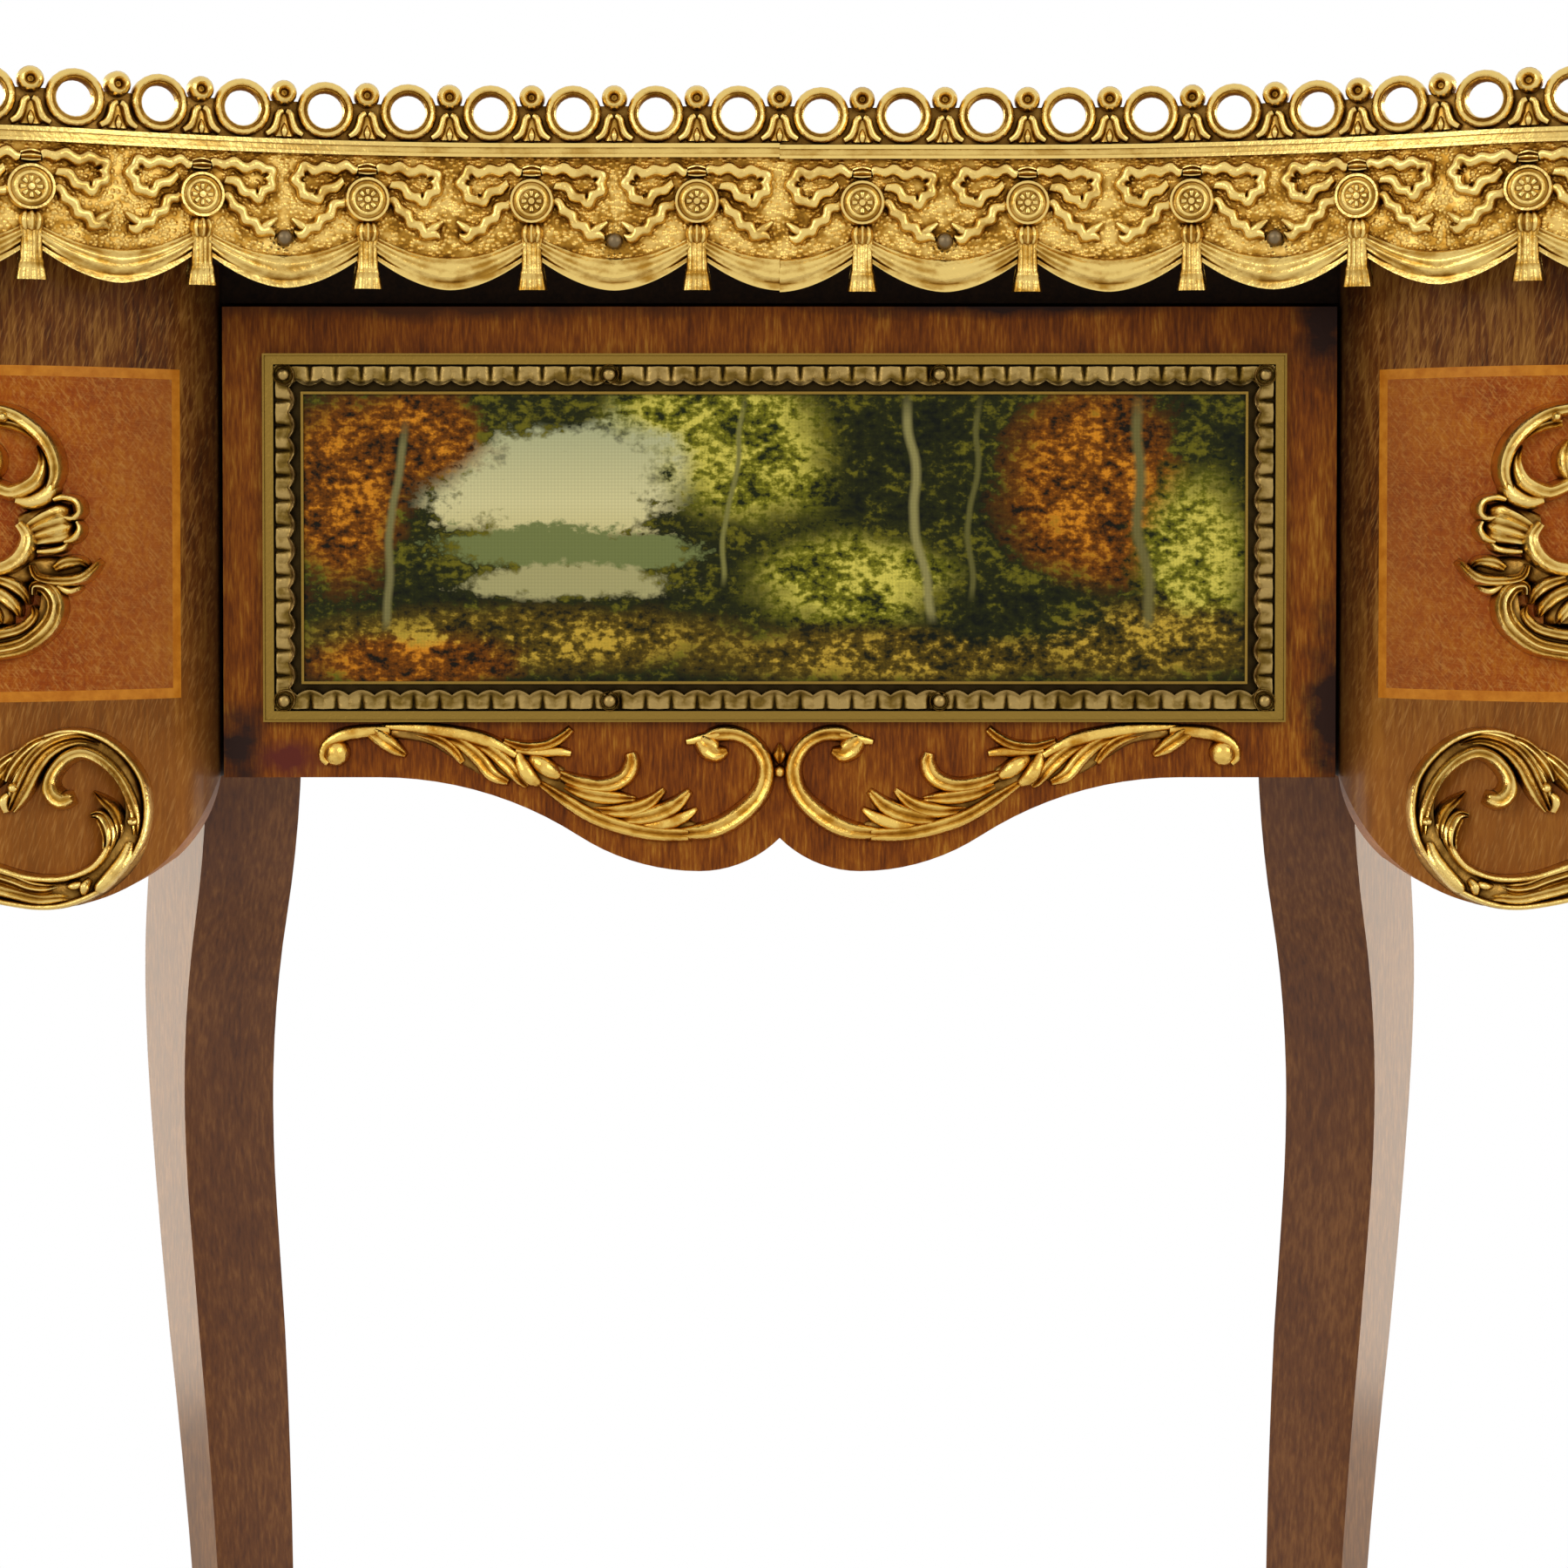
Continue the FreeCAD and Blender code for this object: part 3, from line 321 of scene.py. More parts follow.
def printed_canvas():
    """Print on coarse canvas, varnished: a wooded lakeside in dark greens, ochre and a pale sky."""
    material, tree, shader, place = new_material("printed_landscape_canvas")
    parts = add(tree, "SeparateXYZ", {0: place})
    clump = grain(tree, place, (11, 11, 8), 6.0)
    leaf = grain(tree, place, (2.8, 2.8, 2.0), 5.0)
    rise = add(tree, "MapRange", {"Value": parts.outputs["Z"], "From Min": picture_middle - picture_up,
                                  "From Max": picture_middle + picture_up})
    sky = add(tree, "ValToRGB", {"Fac": rise}, [(0.45, "#e6d68c"), (0.62, "#f0e6a8"), (0.95, "#b8be90")])
    wooded = add(tree, "MixRGB", {"Fac": 0.5, "Color1": clump, "Color2": leaf})
    ragged = add(tree, "Math", {0: leaf, 1: 0.5, 2: clump}, operation="MULTIPLY_ADD")
    ragged = add(tree, "Math", {0: ragged, 1: 0.25}, operation="SUBTRACT")
    wood_dark, autumn, bright, bank = [add(tree, "ValToRGB", {"Fac": wooded}, stops) for stops in (
        [(0.4, "#0c1004"), (0.52, "#2a2c0a"), (0.6, "#77701a")],
        [(0.4, "#171004"), (0.5, "#8a4c0a"), (0.57, "#f29a24")],
        [(0.4, "#1c2206"), (0.49, "#85821a"), (0.56, "#f0e060")],
        [(0.4, "#1a1806"), (0.5, "#6a5412"), (0.57, "#deb640")])]
    hills = colour("#838c50")
    lake = colour("#c0b87c")
    scene = wood_dark
    for x, z, across, up, edge, paint in (
            (-62, 630, 28, 18, 0.3, sky), (-40, 640, 24, 13, 0.3, sky), (-66, 615, 28, 6, 0.2, hills),
            (-42, 613, 20, 5, 0.2, hills), (-58, 652, 12, 5, 0.4, wood_dark),
            (-56, 606, 28, 4.5, 0.3, lake), (-118, 630, 16, 24, 0.5, autumn), (-98, 645, 18, 12, 0.5, autumn),
            (-8, 640, 22, 18, 0.5, bright), (-20, 652, 26, 8, 0.5, bright), (46, 640, 30, 16, 0.5, wood_dark),
            (84, 632, 22, 26, 0.5, autumn), (112, 612, 14, 22, 0.5, bright), (20, 606, 26, 12, 0.5, bright),
            (-70, 590, 60, 8, 0.5, bank), (30, 586, 50, 7, 0.5, bank), (96, 590, 34, 10, 0.5, bank),
            (-100, 584, 26, 7, 0.5, autumn), (64, 598, 26, 9, 0.5, wood_dark)):
        shown = patch(tree, place, ragged, x, z, across, up, edge)
        scene = add(tree, "MixRGB", {"Fac": shown, "Color1": scene, "Color2": paint})
    scene = trunks(tree, place, parts, scene)
    weave = canvas_weave(tree, parts)
    scene = add(tree, "MixRGB", {"Fac": 0.22, "Color1": scene, "Color2": weave}, blend_type="MULTIPLY")
    bump = add(tree, "Bump", {"Height": weave, "Distance": 0.1 * MM, "Strength": 0.5})
    feed(tree, shader, {"Base Color": scene, "Roughness": 0.5, "Specular IOR Level": 0.1, "Normal": bump})
    return material


def trunks(tree, place, parts, scene):
    """Pale slim trunks that lean and bend, over part of the picture's height."""
    bend = grain(tree, place, (400, 400, 26), 1.0)
    for x, width, lean, foot, head, text in (
            (-104, 1.5, 0.08, 592, 650, "#8c8450"), (38, 1.7, -0.10, 594, 657, "#a39a5c"),
            (52, 1.1, 0.05, 600, 657, "#6f6a34"), (98, 2.0, -0.04, 592, 657, "#7d7440"),
            (-14, 1.0, 0.12, 604, 657, "#8f8a48")):
        sway = add(tree, "Math", {0: bend, 1: 9.0, 2: parts.outputs["X"]}, operation="MULTIPLY_ADD")
        off = add(tree, "Math", {0: parts.outputs["Z"], 1: -lean, 2: sway}, operation="MULTIPLY_ADD")
        off = add(tree, "Math", {0: off, 1: x + 4.5 - lean * picture_middle}, operation="SUBTRACT")
        off = add(tree, "Math", {0: off}, operation="ABSOLUTE")
        bark = add(tree, "MapRange", {"Value": off, "From Min": width, "From Max": width * 0.3})
        height = parts.outputs["Z"]
        above = add(tree, "MapRange", {"Value": height, "From Min": foot, "From Max": foot + 4})
        below = add(tree, "MapRange", {"Value": height, "From Min": head, "From Max": head - 8})
        bark = add(tree, "Math", {0: bark, 1: above}, operation="MULTIPLY")
        bark = add(tree, "Math", {0: bark, 1: below}, operation="MULTIPLY")
        scene = add(tree, "MixRGB", {"Fac": bark, "Color1": scene, "Color2": colour(text)})
    return scene


def canvas_weave(tree, parts):
    """Threads across and up the canvas, drawn a little coarse so that they show."""
    thread_pitch = 0.9
    threads = []
    for axis in ("X", "Z"):
        turns = add(tree, "Math", {0: parts.outputs[axis], 1: 2 * pi / thread_pitch}, operation="MULTIPLY")
        wave = add(tree, "Math", {0: turns}, operation="SINE")
        threads.append(add(tree, "MapRange", {"Value": wave, "From Min": -1, "To Min": 0.45}))
    return add(tree, "Math", {0: threads[0], 1: threads[1]}, operation="MULTIPLY")


def dress(material, *names):
    """Give solids of the frame a finish."""
    for name in names:
        mesh = nodes[name].data
        mesh.materials.clear()
        mesh.materials.append(material)


sides = ("left", "right")
dress(crossbanded_veneer(), "drawer_front")
dress(lobe_veneer(), *["lobe_panel_" + side for side in sides])
dress(leg_veneer(), *[name + side for name in ("front_leg_", "back_leg_") for side in sides])
dress(carcase_veneer(), "top_board", "back_panel", *["side_panel_" + side for side in sides])
dress(bare_wood("bare_pine_lining", "#8a6238", "#b58a58"), "drawer_back", "drawer_bottom", "drawer_stops",
      *[name + side for name in ("drawer_side_", "drawer_runner_", "drawer_kicker_") for side in sides])
# Near-black pine for the frame under the top, the rail above the drawer and the partitions: painted shade of
# the gap under the top
dress(bare_wood("painted_shade_carcase_pine", "#1c0f06", "#33200f"), "top_frame", "front_rail",
      *["partition_" + side for side in sides])
dress(dyed_stringing(), "lobe_stringing")
dress(screw_steel(), "top_screws")
dress(printed_canvas(), "picture_panel")
dress(cast_gilt, "front_sabots", "back_sabots")


# Relief: drawn flat as (across, up, proud), then laid on the piece that carries it

def smooth_place(points, share):
    """Values on a smooth curve through a row of points, at a share of its spans."""
    spans = len(points) - 1
    at = min(max(share, 0) * spans, spans - 1e-6)
    first = int(at)
    t = at - first
    rows = [points[min(max(first + step, 0), spans)] for step in (-1, 0, 1, 2)]
    return [(2 * b + (c - a) * t + (2 * a - 5 * b + 4 * c - d) * t ** 2
             + (3 * b - a - 3 * c + d) * t ** 3) / 2 for a, b, c, d in zip(*rows)]


def stroke(form, points, flutes=1, ground=0, wave=0, wave_length=1, steps=5):
    """Raised leaf, strap or ribbon along (across, up, width, height) points, fluted along its length."""
    spans = len(points) - 1
    length = sum((Vector(b[:2]) - Vector(a[:2])).length for a, b in zip(points, points[1:]))
    grid = bmesh.ops.create_grid(form, x_segments=steps * spans, y_segments=4 + 3 * flutes, size=1)["verts"]
    sunk = 0.5
    for vert in grid:
        share = (vert.co.x + 1) / 2
        side = vert.co.y
        across, up, width, height = smooth_place(points, share)
        before = smooth_place(points, share - 0.01)
        after = smooth_place(points, share + 0.01)
        run = Vector((after[0] - before[0], after[1] - before[1])).normalized()
        swing = wave * sin(2 * pi * share * length / wave_length)
        shift = side * width / 2 + swing
        groove = min(0.95, 0.32 * height) if flutes > 1 else 0
        groove *= 0.5 + 0.5 * (-1) ** flutes * cos(pi * flutes * side)
        proud = ground + (height - groove) * max(1 - side ** 2, 0) ** 0.4
        if share < 1e-4 or share > 1 - 1e-4 or abs(side) > 1 - 1e-4:
            proud = ground - sunk
        vert.co = (across - run.y * shift, up + run.x * shift, proud)
    return grid


def bead(form, across, up, radius, height, ground=0):
    """Round boss that stands out from its ground."""
    verts = bmesh.ops.create_uvsphere(form, u_segments=14, v_segments=8, radius=radius)["verts"]
    for vert in verts:
        vert.co.z *= height / radius
        vert.co += Vector((across, up, ground))
    return verts


def turned(form, profile, across, up, segments=24):
    """Round form from a row of (radius, proud) points, its axis pointing outwards."""
    verts = [form.verts.new((across + radius, up, proud)) for radius, proud in profile]
    edges = [form.edges.new((a, b)) for a, b in zip(verts, verts[1:])]
    bmesh.ops.spin(form, geom=verts + edges, cent=(across, up, 0), axis=(0, 0, 1), angle=2 * pi,
                   steps=segments, use_merge=True)
    axis_verts = [vert for vert in form.verts if (vert.co.xy - Vector((across, up))).length < 1e-5]
    bmesh.ops.remove_doubles(form, verts=axis_verts, dist=1e-5)


def slab(form, low, high, cuts=0):
    """Block between two corners, cut across its length so that it can bend."""
    verts = bmesh.ops.create_cube(form, size=1)["verts"]
    low = Vector(low)
    size = Vector(high) - low
    for vert in verts:
        vert.co = low + Vector([size[axis] * (vert.co[axis] + 0.5) for axis in range(3)])
    along = {edge for vert in verts for edge in vert.link_edges
             if abs(edge.verts[0].co.x - edge.verts[1].co.x) > size.x / 2}
    bmesh.ops.subdivide_edges(form, edges=list(along), cuts=cuts, use_grid_fill=True)


def both_halves(form):
    """Add the mirror image across the middle."""
    made = bmesh.ops.duplicate(form, geom=form.verts[:] + form.edges[:] + form.faces[:])["geom"]
    for vert in made:
        if isinstance(vert, bmesh.types.BMVert):
            vert.co.x = -vert.co.x
    bmesh.ops.reverse_faces(form, faces=[face for face in made if isinstance(face, bmesh.types.BMFace)])


def laid(form, place):
    """Lay a flat form on the piece that carries it."""
    for vert in form.verts:
        vert.co = place(*vert.co)


def faces_of(verts):
    """Faces that meet any of some vertices."""
    return list({face for vert in verts for face in vert.link_faces})


def meshed(form, name):
    """Mesh of a form, which is freed."""
    mesh = bpy.data.meshes.new(name)
    form.to_mesh(mesh)
    form.free()
    return mesh


def new_object(name, data):
    """Object in the scene, at the origin."""
    made = bpy.data.objects.new(name, data)
    bpy.context.scene.collection.objects.link(made)
    return made


def piece(form, name, body, slot, materials, *stands_for):
    """Make a finished piece of a form, riding on a body in place of its plain solids."""
    mesh = meshed(form, name)
    for material in materials:
        mesh.materials.append(material)
    mesh.shade_smooth()
    mesh.set_sharp_from_angle(angle=radians(50))
    made = new_object(name, mesh)
    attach(made, body)
    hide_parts(*stands_for)


def on_drawer(across, up, proud):
    """Place on the drawer's face."""
    return Vector((across, drawer_face - proud, up)) * MM


def on_lobe(side):
    """Place on a lobe, across from its mounts' middle."""
    def place(across, up, proud):
        x = side * mount_x + across
        reach = lobe_radius + proud
        y = lobe_centre.y - sqrt(max(reach ** 2 - (abs(x) - lobe_centre.x) ** 2, 0))
        return Vector((x, y, up)) * MM
    return place


def edge_place(run, out):
    """Place on the top's edge, a run to the right of the front's middle, and out from it."""
    side = 1 if run >= 0 else -1
    rest = abs(run)
    hollow_length = hollow_radius * hollow_turn
    lobe_start = 1.5 * pi - hollow_turn
    lobe_length = edge_radius * (2 * pi + back_start - lobe_start)
    if rest < hollow_x:
        return Vector((side * rest, top_front - out))
    rest -= hollow_x
    if rest < hollow_length:
        turn = rest / hollow_radius
        reach = hollow_radius - out
        return Vector((side * (hollow_x + reach * sin(turn)), top_front - hollow_radius + reach * cos(turn)))
    rest -= hollow_length
    if rest < lobe_length:
        turn = lobe_start + rest / edge_radius
        spot = lobe_centre + Vector((cos(turn), sin(turn))) * (edge_radius + out)
    else:
        turn = back_start + (rest - lobe_length) / back_radius
        spot = back_centre + Vector((cos(turn), sin(turn))) * (back_radius + out)
    return Vector((side * spot.x, spot.y))


half_edge = (hollow_x + hollow_radius * hollow_turn + edge_radius * (pi / 2 + back_start + hollow_turn)
             + back_radius * (pi / 2 - back_start))
repeat = 2 * half_edge / repeat_count
half = repeat / 2
quarter = repeat / 4


# Gallery: one repeat, its tassel in the middle and half a swag either side

ring_height = 729.8
crest_bead_height = 734.0
rosette_height = 706.8
nail_height = 695.6
swag_height = 692.2
hem_height = 683.4
tassel_height = 697.0
tassel_length = 13.6
ground = 1.6
overlap = 0.01


def rings(form):
    """Open ring with a rolled rim and a thin lip round its hole, standing on the raised band."""
    profile = [(4.65, 0), (4.65, 2.5), (4.9, 3.0), (5.2, 2.7), (5.5, 2.7), (5.9, 3.5), (6.6, 3.7), (7.2, 3.2),
               (7.5, 2.4), (7.5, 0), (4.65, 0)]
    turned(form, profile, quarter, ring_height)
    turned(form, profile, -quarter, ring_height)


def crest(form, across):
    """Dimpled bead over an arched bell flower, on the web between two rings."""
    turned(form, [(0, 2.7), (0.7, 2.8), (1.2, 4.2), (1.8, 4.8), (2.5, 4.4), (2.9, 3.6), (3.3, 2.9), (3.4, 0)],
           across, crest_bead_height, 18)
    stroke(form, [(across, 722.4, 7.0, 0.9), (across, 725.4, 4.4, 1.0), (across, 729.2, 2.4, 0.9)],
           1, ground)
    arch = [(0.2, 729.4, 2.0, 2.2), (1.5, 728.5, 2.3, 2.6), (2.1, 726.4, 2.3, 2.6), (3.0, 724.4, 2.5, 2.4),
            (5.1, 723.0, 1.8, 1.8)]
    for side in (-1, 1):
        stroke(form, [(across + side * u, v, w, h) for u, v, w, h in arch], 1, ground, steps=4)
    stroke(form, [(across, 722.2, 1.2, 1.2), (across, 724.2, 2.4, 2.2), (across, 726.6, 0.4, 0.8)],
           1, ground)


def web(form, across):
    """Plate that fills the space between and under two rings."""
    slab(form, (across - 5.2, 723.0, 0), (across + 5.2, 732.0, ground - 0.2))
    reach = quarter + overlap
    slab(form, (across - reach, 720.0, 0), (across + reach, 724.9, ground), 5)


def fillet(form):
    """Raised band with two thin lines, level with the top."""
    reach = half + overlap
    for low, high, proud in ((718.6, 721.5, 2.8), (720.9, 722.0, 3.5), (718.4, 719.2, 3.4)):
        slab(form, (-reach, low, 0), (reach, high, proud), 12)


def rosette(form):
    """Rosette: rolled rim, an inner ring and eight petals in low relief."""
    petals = 8
    dish = 3.85
    turned(form, [(0, 4.4), (0.8, 4.3), (1.0, 3.9), (3.1, dish), (3.4, 4.2), (3.9, 4.2), (4.2, 3.9),
                  (4.8, 3.9), (5.1, 4.4), (5.7, 4.4), (6.1, 3.6), (6.2, 0.5)], 0, rosette_height, 28)
    for petal in range(petals):
        turn = 2 * pi * petal / petals
        spread = [(0.9, 0.5, 0.3), (2.0, 1.2, 0.5), (3.1, 1.4, 0.4)]
        stroke(form, [(radius * cos(turn), rosette_height + radius * sin(turn), width, height)
                      for radius, width, height in spread], 1, dish, steps=2)


def bow(form):
    """Tied ribbon over the rosette: a knot, two wavy loops and two wavy tails with cut ends."""
    wave_length = 4.7
    stroke(form, [(-2.8, 714.6, 2.6, 1.8), (0, 714.8, 4.2, 2.8), (2.8, 714.6, 2.6, 1.8)], 3, ground)
    loop = [(2.4, 714.6, 3.0, 2.0), (5.2, 715.2, 3.6, 2.5), (8.8, 715.1, 3.8, 2.6),
            (12.6, 714.5, 3.8, 2.6), (16.0, 714.7, 3.8, 2.6), (18.1, 713.2, 3.8, 2.5),
            (18.3, 710.8, 3.8, 2.5), (16.9, 708.6, 3.8, 2.6), (14.6, 706.8, 3.8, 2.6),
            (12.4, 707.6, 3.7, 2.5), (9.6, 709.8, 3.6, 2.5), (6.0, 711.4, 3.0, 2.0)]
    tail = [(5.6, 706.8, 2.8, 2.0), (8.0, 705.4, 3.6, 2.5), (10.0, 703.0, 3.8, 2.6), (12.0, 701.0, 3.8, 2.6),
            (14.2, 699.4, 3.8, 2.6), (16.6, 697.9, 3.8, 2.5), (19.4, 697.6, 1.8, 1.4)]
    fork = [(15.6, 698.6, 2.6, 2.2), (17.8, 700.0, 2.8, 2.2), (20.0, 701.6, 1.2, 1.2)]
    for side in (-1, 1):
        for points, wave in ((loop, 0.5), (tail, 0.5), (fork, 0)):
            stroke(form, [(side * u, v, w, h) for u, v, w, h in points], 1, ground, wave, wave_length, 8)


def swag(form):
    """Hanging cloth from the tassel to the middle of the swag: long folds and a narrow hem."""
    front_share = 0.85
    start = 2.0
    for side in (-1, 1):
        grid = bmesh.ops.create_grid(form, x_segments=16, y_segments=26, size=1)["verts"]
        for vert in grid:
            along = (vert.co.x + 1) / 2
            down = (1 - vert.co.y) / 2
            front = min(down / front_share, 1)
            behind = max(down - front_share, 0) / (1 - front_share)
            upper = swag_height + 5.4 * (1 - along) ** 2
            lower = hem_height + 8.0 * (1 - along) ** 1.8
            across = start + (half - start) * along
            folds = 0.22 * cos(9 * pi * front * (1 - 0.3 * along)) * (1 - 0.4 * along)
            belly = ground + 2.6 * sin(pi * min(front, 0.82) / 0.82) ** 0.5 * (0.7 + 0.3 * along) + folds
            proud = belly if front < 0.8 else ground + 1.1
            if front < 1e-4:
                proud = ground - 0.4
            if behind > 0:
                proud = 0
            vert.co = (side * across, upper + (lower - upper) * (front - behind), proud)
        if side < 0:
            bmesh.ops.reverse_faces(form, faces=faces_of(grid))


def tassel(form):
    """Fluted knob over a gathered tassel with a tied collar and a spread skirt."""
    front_share = 0.84
    stroke(form, [(0, 701.4, 2.4, 1.6), (0, 700.2, 5.4, 3.4), (0, 698.2, 6.4, 4.2), (0, 696.2, 5.2, 3.4),
                  (0, 695.2, 2.4, 1.6)], 3, ground)
    grid = bmesh.ops.create_grid(form, x_segments=20, y_segments=24, size=1)["verts"]
    for vert in grid:
        down = (1 - vert.co.y) / 2
        front = min(down / front_share, 1)
        behind = max(down - front_share, 0) / (1 - front_share)
        level = front - behind
        width = 3.2 - 0.3 * sin(pi * min(level / 0.7, 1)) + 0.9 * max(level - 0.62, 0) / 0.38
        collar = 0.5 if 0.64 < front < 0.74 else 0
        pleats = 0.14 * cos(5 * pi * vert.co.x)
        proud = ground + 2.3 * max(1 - vert.co.x ** 2, 0) ** 0.3 + pleats + collar
        vert.co = (vert.co.x * width, tassel_height - tassel_length * level,
                   0 if behind > 0 else proud)


def gallery_repeat():
    """One repeat as a mesh, its stippled ground and its webs in finishes of their own, the webs in a darker
    gilt of painted shade.
    """
    form = bmesh.new()
    reach = half + overlap
    slab(form, (-reach, 690.8, 0), (reach, 721.0, ground), 12)
    for face in form.faces:
        face.material_index = 1
    plain = len(form.faces)
    web(form, 0)
    web(form, half)
    form.faces.ensure_lookup_table()
    for face in form.faces[plain:]:
        face.material_index = 2
    for add_part in (rings, fillet, rosette, bow, swag, tassel):
        add_part(form)
    crest(form, 0)
    crest(form, half)
    bmesh.ops.recalc_face_normals(form, faces=form.faces[:])
    return meshed(form, "gallery_repeat")


def gallery_strip(name, pattern, first, last, drop):
    """Strip of the pierced gallery, bent round the top's edge, from one count of repeats to another."""
    form = bmesh.new()
    for count in range(first, last):
        start = len(form.verts)
        form.from_mesh(pattern)
        form.verts.ensure_lookup_table()
        middle = (count + 0.5) * repeat
        for vert in form.verts[start:]:
            spot = edge_place(middle + vert.co.x, vert.co.z)
            vert.co = Vector((spot.x, spot.y, vert.co.y - drop)) * MM
    piece(form, "gilt_" + name, "table", "gilt_brass", (cast_gilt, stippled_gilt, shaded_gilt), name)


# Repeats counted from the front's middle, and how low each strip sits
pattern = gallery_repeat()
for name, first, last, drop in (("gallery_front_left", -10, 0, 0.8), ("gallery_front_right", 0, 10, 1.2),
                                ("gallery_back_left", -20, -10, 0.8), ("gallery_back_right", 10, 21, 1.0)):
    gallery_strip(name, pattern, first, last, drop)
bpy.data.meshes.remove(pattern)


def gallery_nails():
    """Domed nails through the middle of every other swag."""
    form = bmesh.new()
    for count in range(-19, 20, 2):
        for vert in bead(form, 0, nail_height, 2.2, 1.9, ground + 1.0):
            spot = edge_place(count * repeat + vert.co.x, vert.co.z)
            vert.co = Vector((spot.x, spot.y, vert.co.y)) * MM
    piece(form, "domed_gallery_nails", "table", "gilt_brass", (nail_brass,), "gallery_pins")


gallery_nails()


# Picture frame: a stamped moulding of leaf tips between a flat fillet and a thin sight line

frame_width = 11.3
frame_across = 137.9
frame_up = 49.9
frame_shift = -1.4
leaf_row = 6.0
leaf_top = 3.5
long_leaves = 37
short_leaves = 12
pin_across = (-132.0, -44.4, 44.4, 132.0)
pin_up = 43.9


def frame_length(half_outside, leaves):
    """One length, mitred at both ends: across is along it, up is in from its outer edge."""
    form = bmesh.new()
    # The groove behind the leaf tips takes the second finish, a near-black brass of painted shade
    for near, far, proud, finish in ((0.4, 3.3, 2.4, 2), (0.4, 0.9, 2.7, 2),
                                     (3.1, frame_width, 1.35, 1), (10.6, frame_width, 1.9, 2)):
        before = len(form.verts)
        faces = len(form.faces)
        slab(form, (-1, near, -0.3), (1, far, proud))
        form.verts.ensure_lookup_table()
        form.faces.ensure_lookup_table()
        for vert in form.verts[before:]:
            vert.co.x *= half_outside - vert.co.y
        for face in form.faces[faces:]:
            face.material_index = finish
    row_half = half_outside - leaf_top - leaf_row
    pitch = 2 * row_half / leaves
    for leaf in range(leaves):
        leaf_tip(form, -row_half + (leaf + 0.5) * pitch, pitch)
    for end in (-1, 1):
        leaf_tip(form, end * (row_half + leaf_row / 2), leaf_row)
    return form


def leaf_tip(form, middle, width):
    """Leaf tip with a scalloped lip at its end and a slit that narrows down its middle."""
    grid = bmesh.ops.create_grid(form, x_segments=10, y_segments=12, size=1)["verts"]
    for vert in grid:
        side = vert.co.x
        share = (vert.co.y + 1) / 2
        reach = leaf_row * (1 - 0.26 * side ** 2)
        slit = max(1 - abs(side) / 0.26, 0) * max(1 - share / 0.85, 0) ** 0.5
        lip = min(max(share - 0.74, 0) / 0.14, 1)
        proud = 2.2 - 1.2 * slit + 0.6 * lip - 0.3 * side ** 8 * share
        if share < 0.001 or share > 0.999:
            proud = 1.2
        vert.co = (middle + side * width / 2, leaf_top + share * reach, proud)
    bmesh.ops.reverse_faces(form, faces=faces_of(grid))


def picture_frame():
    """Four lengths round the picture, each turned to its side."""
    for name, half_outside, reach, turn, leaves in (
            ("top", frame_across, frame_up, pi, long_leaves),
            ("bottom", frame_across, frame_up, 0, long_leaves),
            ("left", frame_up, frame_across, -pi / 2, short_leaves),
            ("right", frame_up, frame_across, pi / 2, short_leaves)):
        form = frame_length(half_outside, leaves)
        bmesh.ops.recalc_face_normals(form, faces=form.faces[:])
        for vert in form.verts:
            across, inward, proud = vert.co
            flat = Matrix.Rotation(turn, 2) @ Vector((across, inward - reach))
            vert.co = on_drawer(flat.x + frame_shift, picture_middle + flat.y, proud)
        piece(form, "stamped_frame_" + name, "drawer", "frame_brass",
              (stamped_brass, groove_shade_brass, fillet_brass), "picture_frame_" + name)


def frame_pins():
    """Domed pins, each in a small dished ring of the moulding."""
    form = bmesh.new()
    for across in pin_across:
        for up in (-pin_up, pin_up):
            for profile in ([(0, 3.6), (1.1, 3.4), (1.7, 2.8), (1.95, 2.0), (1.95, 0.5)],
                            [(2.35, 0.5), (2.35, 2.7), (2.55, 2.9), (2.75, 2.5), (2.75, 0.5)]):
                turned(form, profile, across + frame_shift, picture_middle + up, 16)
    bmesh.ops.recalc_face_normals(form, faces=form.faces[:])
    laid(form, on_drawer)
    piece(form, "domed_frame_pins", "drawer", "frame_brass", (stamped_brass,), "picture_frame_pins")


picture_frame()
frame_pins()


# Mounts: rows of points, each across from the middle, up, width and height, then a count of flutes

